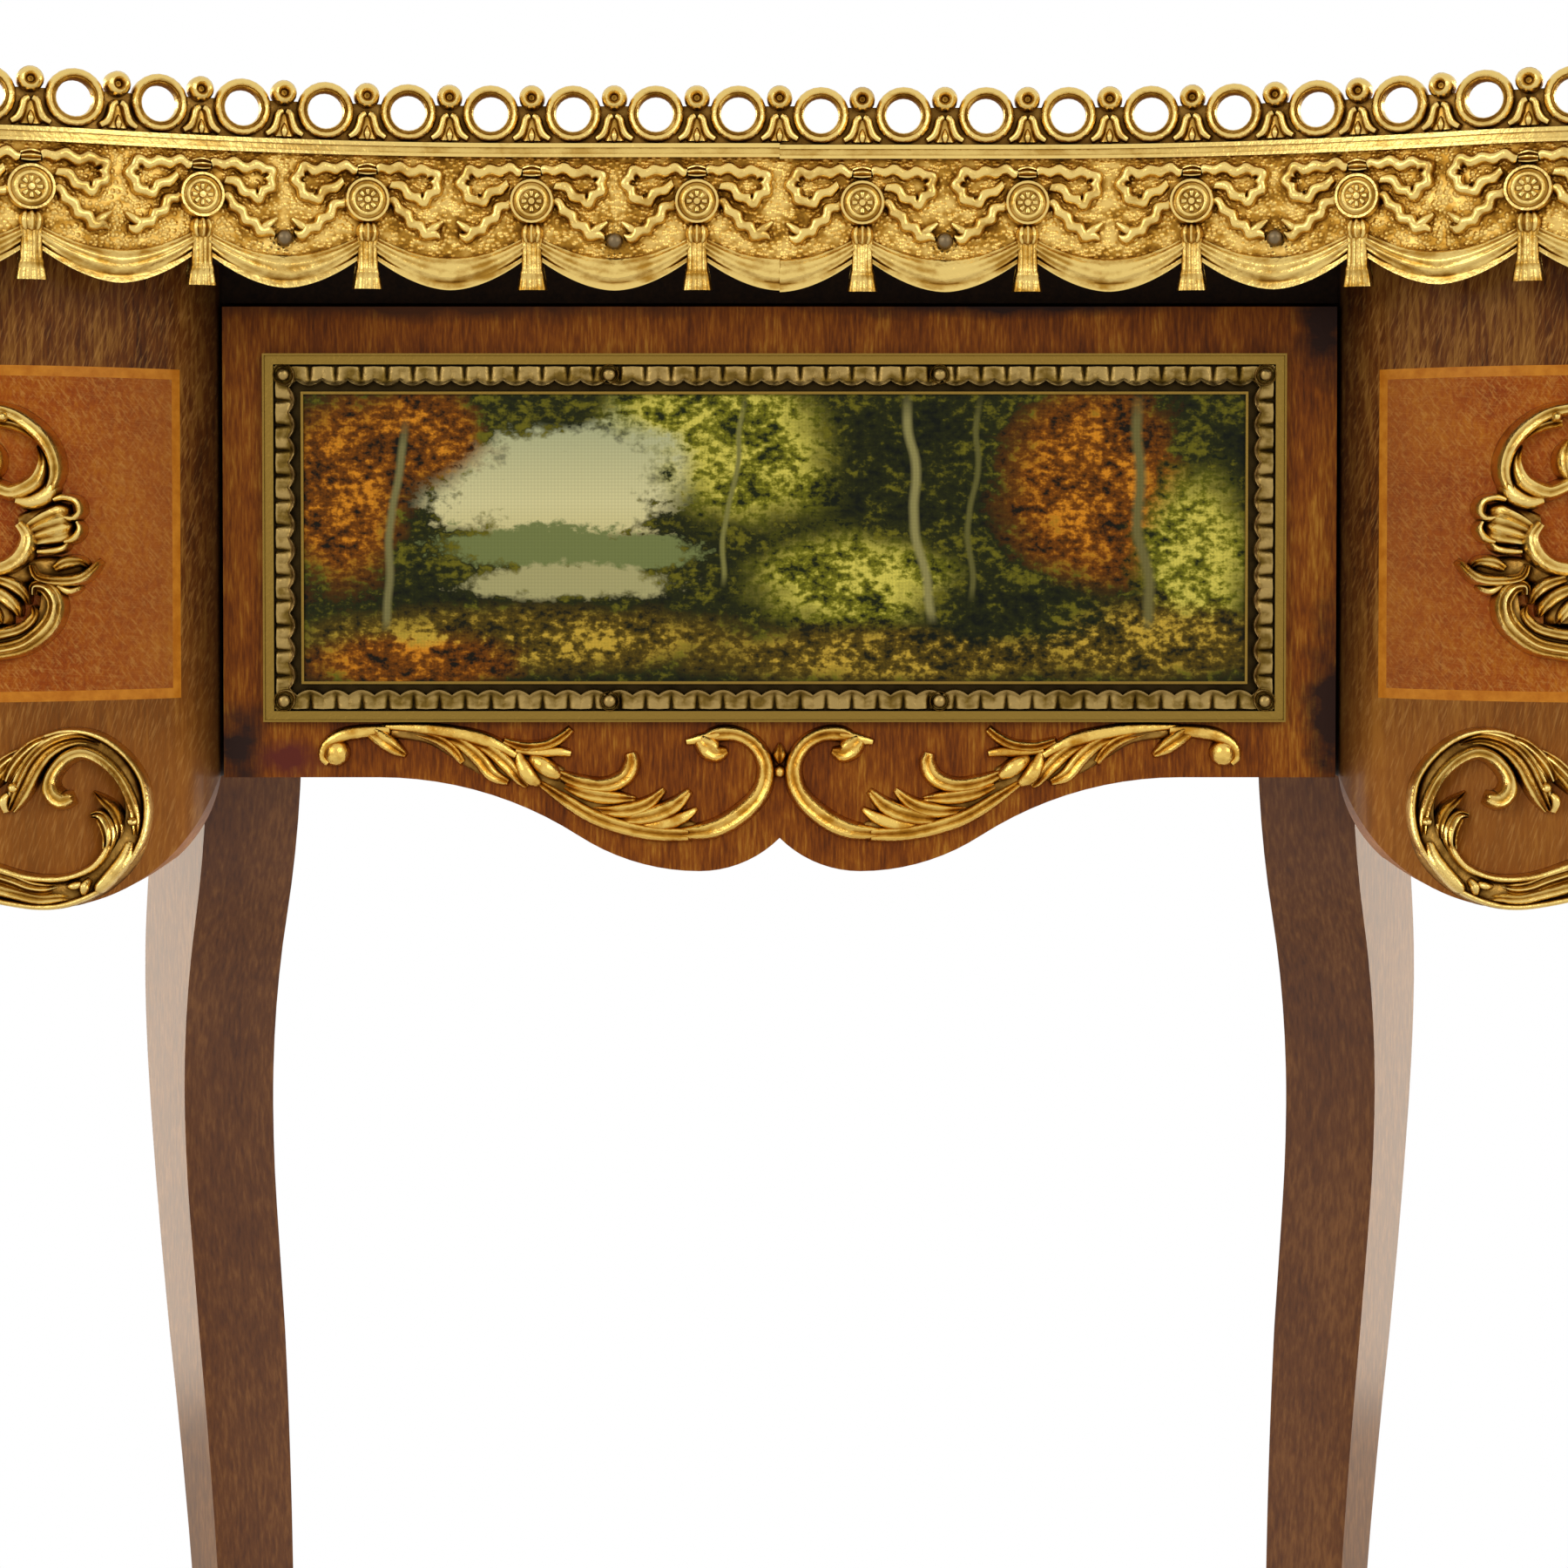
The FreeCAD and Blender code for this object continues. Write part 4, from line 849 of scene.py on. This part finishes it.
cartouche_middle = 619.0
apron_strokes = {
    "leaf_ground": ([
        (106, 12, 3, 1.4), (95, 11.5, 5, 1.8), (86, 8.6, 9, 1.8), (78, 4.6, 10, 1.8), (71, 3, 9, 1.8),
        (64, 1.6, 8, 1.8), (58, 0, 5, 1.4)], 1),
    "stem_ground": ([
        (65, 0.5, 5, 1.6), (57, -4.4, 7, 1.8), (49, -7.6, 9, 1.8), (40, -10.8, 8, 1.8), (31, -12.8, 7, 1.8),
        (22, -14.2, 4, 1.4)], 1),
    "volute_stem": ([
        (104, 13, 2.8, 1.8), (112, 12.4, 4.2, 3), (118, 11.4, 4.4, 3.4), (122.2, 8.8, 3.8, 3.2),
        (123.2, 5.8, 3, 3), (121.4, 3.6, 2.2, 2.4)], 1),
    "bud": ([
        (110.6, 12.8, 4.6, 2.4), (107.4, 10.6, 5.4, 3.8), (103.8, 8, 4.8, 3.2), (100.4, 5.8, 1.6, 1.4)], 2),
    "leaf_back": ([
        (108.7, 13.8, 1.6, 1.4), (97.8, 13.4, 3.4, 2.6), (87.2, 12, 4.4, 3.2), (78.2, 9.7, 4.6, 3.4),
        (70, 5.4, 2.6, 2.2)], 1),
    "first_tip": ([
        (101.1, 12.6, 1.4, 1.4), (92.9, 10.7, 3.6, 2.8), (88.2, 7.8, 4, 3), (85, 3.6, 2.6, 1.8)], 2),
    "second_tip": ([
        (93.7, 11.7, 1.6, 1.6), (86.4, 9.7, 4.2, 3.2), (81, 5.4, 5.4, 3.6), (77.3, 0.9, 5, 3.2),
        (72.6, -1.4, 2.2, 1.6)], 2),
    "third_tip": ([
        (87.2, 11.5, 1.6, 1.6), (79, 8.2, 4.4, 3.4), (73.6, 3.8, 5.2, 3.6), (69.6, -0.8, 3.8, 2.6),
        (67.8, -2.6, 1.6, 1.2)], 2),
    "upper_fork": ([
        (75, 10.2, 2.4, 2), (69, 8.4, 3.6, 3), (63, 8.8, 3.8, 3.2), (58.4, 11.2, 3.4, 2.8),
        (56, 13.4, 2.6, 2)], 2),
    "lower_fork": ([(72, 7.6, 2, 2), (65, 6.8, 3.2, 2.8), (59.6, 7, 3.2, 2.8), (55.8, 6.4, 2.2, 1.8)], 1),
    "outer_calyx": ([
        (70.6, 7.2, 2.4, 1.8), (69.2, 3.2, 5.2, 3.6), (67, 0.1, 5.2, 3.8), (64.2, -2, 2.4, 2)], 1),
    "inner_calyx": ([
        (67.8, 5.8, 2.6, 2), (64.4, 3.8, 5.4, 4.2), (61.4, 1.7, 5, 4), (58.8, -0.2, 2.4, 2)], 1),
    "stem": ([
        (65.5, -0.8, 2.4, 2), (57.7, -6, 4.4, 3.2), (50.3, -10.4, 5, 3.6), (42.1, -13.3, 5.2, 3.6),
        (33.1, -15, 5.2, 3.6), (23.3, -15.3, 4.4, 3)], 2),
    "round_leaf": ([
        (61.5, 1.9, 2.2, 1.8), (54.4, -1.1, 4.6, 3.2), (47.4, -2.1, 5, 3.6), (41.9, 0, 5.4, 3.8),
        (39.9, 3.8, 5.2, 3.4), (40.4, 7, 3.4, 2.2)], 2),
    "pointed_leaf": ([
        (58.9, -1.9, 2.2, 1.8), (51.9, -4.3, 5, 3.4), (44.6, -5.4, 4.8, 3.2), (38.2, -5.8, 1.4, 1)], 2),
    "upper_tip": ([
        (51.5, -8.5, 2.2, 1.8), (42.9, -9, 5, 3.4), (36, -7.4, 5, 3.2), (30.8, -2.9, 1.8, 1.2)], 2),
    "middle_tip": ([
        (47, -11.1, 2.2, 1.8), (37.6, -10.8, 5.4, 3.6), (29.4, -8.2, 5.6, 3.4), (23.8, -3.2, 2.2, 1.4)], 2),
    "lower_tip": ([
        (40.5, -13.1, 2, 1.8), (32.3, -12.7, 4.6, 3.2), (26.1, -10.8, 4, 2.8), (22, -8.1, 1.4, 1)], 1),
    "scroll": ([
        (31, -14.9, 2.8, 2.2), (20, -14.4, 5.6, 3.6), (12, -10.8, 6.2, 4), (5.4, -4.4, 5.8, 4),
        (3.7, 2.8, 5.4, 3.8), (6.4, 8.6, 5, 3.6), (11.3, 11.6, 4.8, 3.4), (16.4, 11.8, 5, 3.2),
        (20, 10.5, 3.8, 2.6)], 2),
    "hook_tip": ([(15.5, 11.6, 3.6, 2.4), (20.6, 10.5, 3.8, 2.6), (25.8, 9.5, 1.8, 1.2)], 1),
    "hook_bud": ([
        (22, 10.6, 4.4, 2.8), (19.4, 8.4, 7.4, 4.2), (16.8, 6.6, 6, 3.8), (13.8, 7.4, 2.2, 1.6)], 2)}
apron_beads = [(119.6, 6.8, 3.9, 4.0)]

scroll_strokes = {
    "strap_ground": ([
        (8.8, -3, 3, 2.4), (13.1, 3.6, 7, 3), (17.6, 9, 8, 3.2), (24.4, 11.8, 8, 3.2), (31.2, 9.2, 8, 3.2),
        (36.1, 3.6, 7, 3), (38.6, -4, 6, 3), (38.6, -11, 7, 3), (36.1, -18, 8, 3.2), (31.2, -23.6, 8, 3.2),
        (25.3, -26.6, 8, 3.2), (18.5, -27, 8, 3.2), (9.8, -25.4, 9, 3.2), (0, -22.6, 10, 3.2)], 1),
    "join_ground": ([(14.6, 9.5, 4, 2.4), (9.8, 6.5, 6, 3), (4.9, 2.5, 6, 3.2), (0, -2, 5, 3.2)], 1),
    "outer_rim": ([
        (16.6, 13, 1.8, 2.8), (22.3, 14.6, 2.2, 3.8), (28, 14.1, 2.3, 4), (32.8, 11.7, 2.3, 4),
        (37.2, 7.3, 2.2, 4), (40.3, 1.9, 2.2, 4), (41.4, -3.6, 2.2, 4), (41.4, -8.8, 2.2, 4),
        (40.4, -14, 2.2, 4), (38.4, -18.2, 2.2, 4), (35.4, -22.2, 2.2, 4), (31.8, -25.9, 2.2, 4),
        (27.7, -28.3, 2.3, 4), (22.3, -30.1, 2.3, 4), (16.3, -30.3, 2.3, 4), (9.1, -29, 2.3, 4),
        (0, -26.7, 2.3, 4)], 1),
    "inner_band": ([
        (39, -13.6, 2, 3.4), (39, -8, 3.4, 4.8), (37.5, -2.1, 3.6, 5.2), (35, 3, 3.8, 5.4),
        (31.4, 7, 4.2, 5.6), (27.4, 9.1, 4.6, 5.8), (23.8, 8.3, 4.6, 5.8), (20.9, 5.5, 4.4, 5.6),
        (19.2, 2, 4.4, 5.4), (19.7, -1.3, 5.4, 5.6), (21.9, -3.1, 5.8, 5.6), (24.8, -2.3, 3.8, 4.4)], 2),
    "upper_strap": ([
        (31.4, 10.9, 2.2, 3.2), (26.9, 12.8, 3.8, 4.8), (22.3, 12.2, 5.2, 5.6), (18.3, 9.9, 6.2, 6),
        (15.4, 6.4, 6.6, 6), (13.4, 2.4, 6.4, 5.8), (11.4, -1.8, 5.6, 5.2), (9.2, -5.8, 2.6, 2.8)], 4),
    "second_strap": ([
        (20.6, 13.5, 1.6, 2.6), (16.6, 11.9, 4.2, 4.8), (13.3, 9.1, 5, 5.4), (10.6, 5.6, 5.2, 5.4),
        (8.7, 1.8, 3.4, 4)], 3),
    "third_strap": ([
        (13.7, 10.5, 1.6, 2.6), (9.5, 7.6, 4.6, 4.8), (5.4, 3.4, 5.2, 5.2), (0, -3, 4.8, 5.2)], 3),
    "strap_end": ([(9.7, -0.9, 2.6, 3.8), (8.2, -3, 3.6, 4.4), (8.8, -6.2, 2.4, 3)], 1),
    "first_leaf": ([
        (34.9, -14.3, 1.8, 2.6), (35.3, -10.4, 3, 4.2), (34, -6.4, 3.4, 4.6), (31.6, -3.7, 3, 4),
        (28.7, -1, 0.6, 1)], 2),
    "second_leaf": ([
        (31.7, -18.3, 2, 3), (32.9, -13.8, 3.8, 5), (32.4, -9.9, 4.6, 5.6), (30.6, -7.4, 3.8, 4.8),
        (27.9, -7.6, 1, 1.8)], 3),
    "inside_strap": ([
        (33.3, -12.5, 1.8, 2.8), (32.1, -17, 2.8, 4.2), (29.2, -20.7, 2.8, 4.2), (24.6, -22.8, 2.4, 4),
        (19.5, -23.4, 2.4, 4), (13.7, -22.7, 2.5, 4), (7.9, -20.8, 2.6, 4), (0, -17.3, 2.6, 4)], 1),
    "panel": ([
        (37.9, -14, 2.6, 3.4), (36.5, -18.9, 4.4, 5.4), (33.6, -22.9, 4.6, 5.6), (30.8, -26, 4, 5),
        (29.2, -27.5, 2, 2.8)], 1),
    "knot": ([(28.9, -23.5, 2.2, 3.4), (27.4, -25.5, 3.6, 5.2), (26.9, -28.1, 2.4, 3.4)], 1),
    "knot_tail": ([(26.9, -24.8, 2.6, 4.4), (24.6, -25.3, 3, 4.6), (21.8, -25.2, 0.8, 2)], 1),
    "band_leaf": ([
        (21.8, -25.1, 1.2, 2.4), (18.3, -25.8, 3.8, 4.8), (14.3, -25.2, 4.4, 5), (9.7, -23.2, 4.6, 5),
        (0, -19.8, 4.2, 4.8)], 3),
    "lower_leaf": ([
        (25.4, -28.6, 1.4, 2.4), (21.4, -28.2, 3.4, 4.4), (16.6, -28.2, 4.2, 4.8), (10.8, -26.6, 4.4, 5),
        (0, -23.2, 4.4, 5)], 2)}
scroll_beads = [(38.4, -9.2, 1.7, 5.8), (10.9, 0.6, 2.0, 6.6)]

cartouche_strokes = {
    "shell_ground": ([(25, 3, 9, 2), (20.4, 2.2, 11, 2.4), (15.4, 1.6, 10, 2.8), (11.4, 1.6, 6, 2.6)], 1),
    "strap_foot": ([
        (20.4, 13.4, 4, 3.4), (18.8, 9.8, 5.4, 4.2), (15, 7.8, 5, 4.4), (11.2, 8.6, 3.6, 4)], 1),
    "shell_ribs": ([
        (13.6, -1.2, 6.4, 3.4), (18.2, 0.8, 10, 4.8), (22.6, 2.2, 11.6, 5), (25, 2.9, 8.6, 3.2)], 4),
    "upper_curl": ([
        (20, 8.2, 1.8, 3.4), (23, 9, 2.4, 4.8), (26, 8, 2.8, 5.4), (26.8, 5.4, 2.8, 5.4),
        (25.2, 3.6, 2.6, 5.2), (22.8, 3.8, 1.8, 4.4)], 1),
    "second_scallop": ([
        (25.8, 3, 1.6, 4.4), (26.8, 0.8, 2.6, 5.2), (25.4, -1.6, 2.8, 5.2), (22.6, -2.6, 1.8, 4)], 1),
    "third_scallop": ([
        (24, -2.4, 1.6, 3.6), (22.6, -4.2, 2.4, 4.6), (19.6, -4.9, 2.4, 4.4), (16, -5, 1.6, 3.2)], 1),
    "middle_boss": ([(5, 23.8, 1.8, 3), (6.6, 20.2, 4.6, 5.2), (6.6, 16.6, 5, 5.6), (5, 13, 2.6, 4.2)], 2),
    "leaf_ground": ([(28, -9.4, 3, 1.2), (21, -9.4, 7, 1.4), (14.5, -10, 7, 1.6), (9.6, -12.6, 6, 3)], 1),
    "lower_ground": ([
        (18.6, -15, 4, 2.6), (18.8, -21.6, 7, 3.2), (13.6, -27, 8, 3.2), (0, -29, 8, 3.2)], 1),
    "fan_ground": ([(6, -8, 10, 2.8), (5, -14, 12, 3), (5, -25, 12, 2.8)], 1),
    "arch_strap": ([
        (18.4, 9, 3, 3.6), (20.9, 14.3, 4.4, 5.2), (20.6, 19.4, 4.8, 5.6), (18.2, 24.2, 5.2, 5.8),
        (14.2, 28.2, 5.2, 5.8), (9.3, 30.8, 4.8, 5.6), (0, 32.3, 4.4, 5.4)], 2),
    "crescent": ([
        (16.2, 22.6, 1, 2), (17.8, 18, 3.4, 4.6), (16.2, 13.2, 5.2, 5.6), (11.6, 10.4, 5.4, 5.8),
        (8, 10.9, 5, 5.6), (0, 15.2, 4.6, 5.4)], 2),
    "arch_leaf": ([
        (18.6, 20.6, 0.8, 1.8), (15.6, 24.8, 3, 4.4), (11.2, 27.2, 3.4, 4.8), (6.6, 28, 3, 4)], 2),
    "collar": ([
        (11.6, 2.6, 3.2, 4), (14.3, -1.3, 5.2, 5.6), (12.8, -5.9, 5.8, 6), (8.5, -8.9, 5.4, 6),
        (0, -9.8, 5.2, 5.8)], 2),
    "leaf_band": ([
        (14.8, -8, 2, 3.4), (16.6, -11.6, 2.8, 4.8), (21.8, -12.6, 3.6, 5.4), (27.2, -11.8, 3.8, 5.4),
        (31.4, -7.2, 2, 3.2)], 2),
    "leaf_crown": ([
        (20.2, -9.6, 2.6, 3.8), (23.2, -7.9, 4.2, 5), (26.6, -7.6, 3.2, 4.2), (28.4, -9, 1.4, 2.6)], 2),
    "leaf_lobe": ([(21, -13.4, 2.4, 3.8), (24, -15.2, 3, 4.6), (27, -14, 1.6, 3)], 1),
    "upper_frond": ([
        (5.4, -11.6, 3.2, 4), (10.6, -13.4, 4.4, 5.2), (13.4, -16, 3.4, 4.6), (14.2, -18.8, 1.2, 2.6)], 2),
    "middle_frond": ([
        (2.6, -13.8, 3.4, 4), (8, -16, 4.8, 5.4), (11.2, -19, 3.8, 4.8), (12.2, -22, 1.2, 2.6)], 2),
    "lower_frond": ([
        (0, -15.8, 3.4, 4.2), (4.4, -18.6, 4.8, 5.4), (7, -21.6, 3.8, 4.8), (7.8, -24, 1.2, 2.6)], 2),
    "lower_scroll": ([
        (15.4, -16.4, 2.4, 3.6), (16, -14, 3.6, 5), (18.8, -14.4, 4.8, 5.6), (20.9, -18, 5.2, 5.8),
        (20, -22.8, 5.6, 6), (16.4, -27, 5.6, 6), (11.2, -29.8, 5.4, 6), (0, -31.4, 5.2, 5.8)], 3),
    "inner_scroll": ([
        (15, -18.6, 1.2, 2.4), (15.8, -21.4, 3.2, 4.4), (13, -24.6, 3.8, 5), (7.4, -26.2, 4.2, 5.2),
        (0, -26.8, 4.4, 5.2)], 2)}
cartouche_beads = [(9.0, 29.4, 1.9, 6.6)]


def mount_half(strokes, beads, level):
    """Half of a mount, its grounds in the second finish, a darker gilt of painted shade."""
    form = bmesh.new()
    for name, (points, flutes) in strokes.items():
        grid = stroke(form, [(u, level + v, w, h) for u, v, w, h in points], flutes)
        if name.endswith("ground"):
            for face in faces_of(grid):
                face.material_index = 1
    for across, up, radius, height in beads:
        bead(form, across, level + up, radius, height)
    return form


def facing_out(form):
    """Turn every face of laid relief away from its ground."""
    for face in form.faces:
        face.normal_update()
    bmesh.ops.reverse_faces(form, faces=[face for face in form.faces if face.normal.z < 0])


def apron_mount():
    """Pair of acanthus scrolls under the picture, with a small leaf and pearl between them."""
    form = mount_half(apron_strokes, apron_beads, body_foot)
    both_halves(form)
    stroke(form, [(0, body_foot + 3.4, 1.2, 1.6), (0, body_foot + 6.2, 4.4, 3.2),
                  (0, body_foot + 9.6, 0.6, 0.8)], 2)
    bead(form, 0, body_foot + 1.6, 1.9, 3.0)
    facing_out(form)
    laid(form, on_drawer)
    piece(form, "gilt_apron_scrolls", "drawer", "gilt_brass", (bright_gilt, shaded_gilt), "apron_scrolls")


def lobe_mounts(name, strokes, beads, level, node):
    """A mount on each lobe, both halves alike."""
    whole = bmesh.new()
    for side in (-1, 1):
        form = mount_half(strokes, beads, level)
        both_halves(form)
        facing_out(form)
        laid(form, on_lobe(side))
        mesh = meshed(form, "mount")
        whole.from_mesh(mesh)
        bpy.data.meshes.remove(mesh)
    piece(whole, name, "table", "gilt_brass", (cast_gilt, shaded_gilt), node)


apron_mount()
lobe_mounts("gilt_lobe_scrolls", scroll_strokes, scroll_beads, body_foot, "lobe_scrolls")
lobe_mounts("gilt_lobe_cartouches", cartouche_strokes, cartouche_beads, cartouche_middle,
            "lobe_cartouches")


# Studio

def softbox(name, place, target, width, height, radiance, tint):
    """Soft rectangular lamp that faces a target."""
    lamp = bpy.data.lights.new(name, "AREA")
    lamp.shape = "RECTANGLE"
    lamp.size = width
    lamp.size_y = height
    lamp.energy = radiance * pi * width * height
    lamp.color = colour(tint)[:3]
    box = new_object(name, lamp)
    box.location = place
    box.rotation_euler = (Vector(target) - Vector(place)).to_track_quat("-Z", "Y").to_euler()


softbox("front_left_softbox", (-1.5, -1.9, 1.5), (0, 0, 0.55), 1.2, 1.2, 2.6, "#ffffff")
softbox("front_right_softbox", (1.5, -1.9, 1.5), (0, 0, 0.55), 1.2, 1.2, 2.2, "#ffffff")
softbox("rear_left_softbox", (-1.6, 0.75, 0.55), (0, 0, 0.45), 0.9, 1.4, 6.8, "#fff2e0")
softbox("rear_right_softbox", (1.6, 0.75, 0.55), (0, 0, 0.45), 0.9, 1.4, 6.8, "#fff2e0")

world = bpy.data.worlds.new("white_studio")
bpy.context.scene.world = world
world.use_nodes = True
tree = world.node_tree
tree.nodes.clear()
rays = add(tree, "LightPath").outputs
seen = add(tree, "Math", {0: rays["Is Camera Ray"], 1: rays["Is Glossy Ray"]}, operation="MAXIMUM")
seen = add(tree, "Math", {0: seen, 1: rays["Is Transmission Ray"]}, operation="MAXIMUM")
strength = add(tree, "MapRange", {"Value": seen, "To Min": 0.45, "To Max": 1.0})
sky = add(tree, "Background", {"Color": (1, 1, 1, 1), "Strength": strength})
add(tree, "OutputWorld", {"Surface": sky})

# Floor: a pale round that fades into the white beyond it
floor_radius = 0.85
floor_fade = 0.5
floor_drop = 0.0005
form = bmesh.new()
bmesh.ops.create_circle(form, cap_ends=True, segments=96, radius=floor_radius)
mesh = meshed(form, "floor")
floor = new_object("floor", mesh)
floor.location = (0, 0, -floor_drop)
material, tree, shader, place = new_material("pale_floor")
feed(tree, shader, {"Base Color": (0.86, 0.86, 0.86, 1), "Roughness": 0.6})
far = add(tree, "VectorMath", {0: place}, operation="LENGTH").outputs["Value"]
fade = add(tree, "MapRange", {"Value": far, "From Min": floor_fade / MM,
                              "From Max": 0.99 * floor_radius / MM}, interpolation_type="SMOOTHSTEP")
white = add(tree, "Emission", {"Color": (1, 1, 1, 1), "Strength": 1.0})
mix = add(tree, "MixShader", {0: fade, 1: shader, 2: white})
feed(tree, tree.nodes["Material Output"], {"Surface": mix})
mesh.materials.append(material)

# Camera
camera = bpy.data.cameras.new("photo_camera")
camera.sensor_width = sensor_width
camera.lens = focal_pixels / photo_size * sensor_width
camera.shift_x = 0.5 - axis_pixel[0] / photo_size
camera.shift_y = axis_pixel[1] / photo_size - 0.5
camera.clip_start = 0.05
holder = new_object("photo_camera", camera)
holder.location = Vector(camera_place) * MM
holder.rotation_euler = (pi / 2 - camera_pitch, 0, 0)
bpy.context.scene.camera = holder
bpy.context.scene.view_settings.view_transform = "Standard"
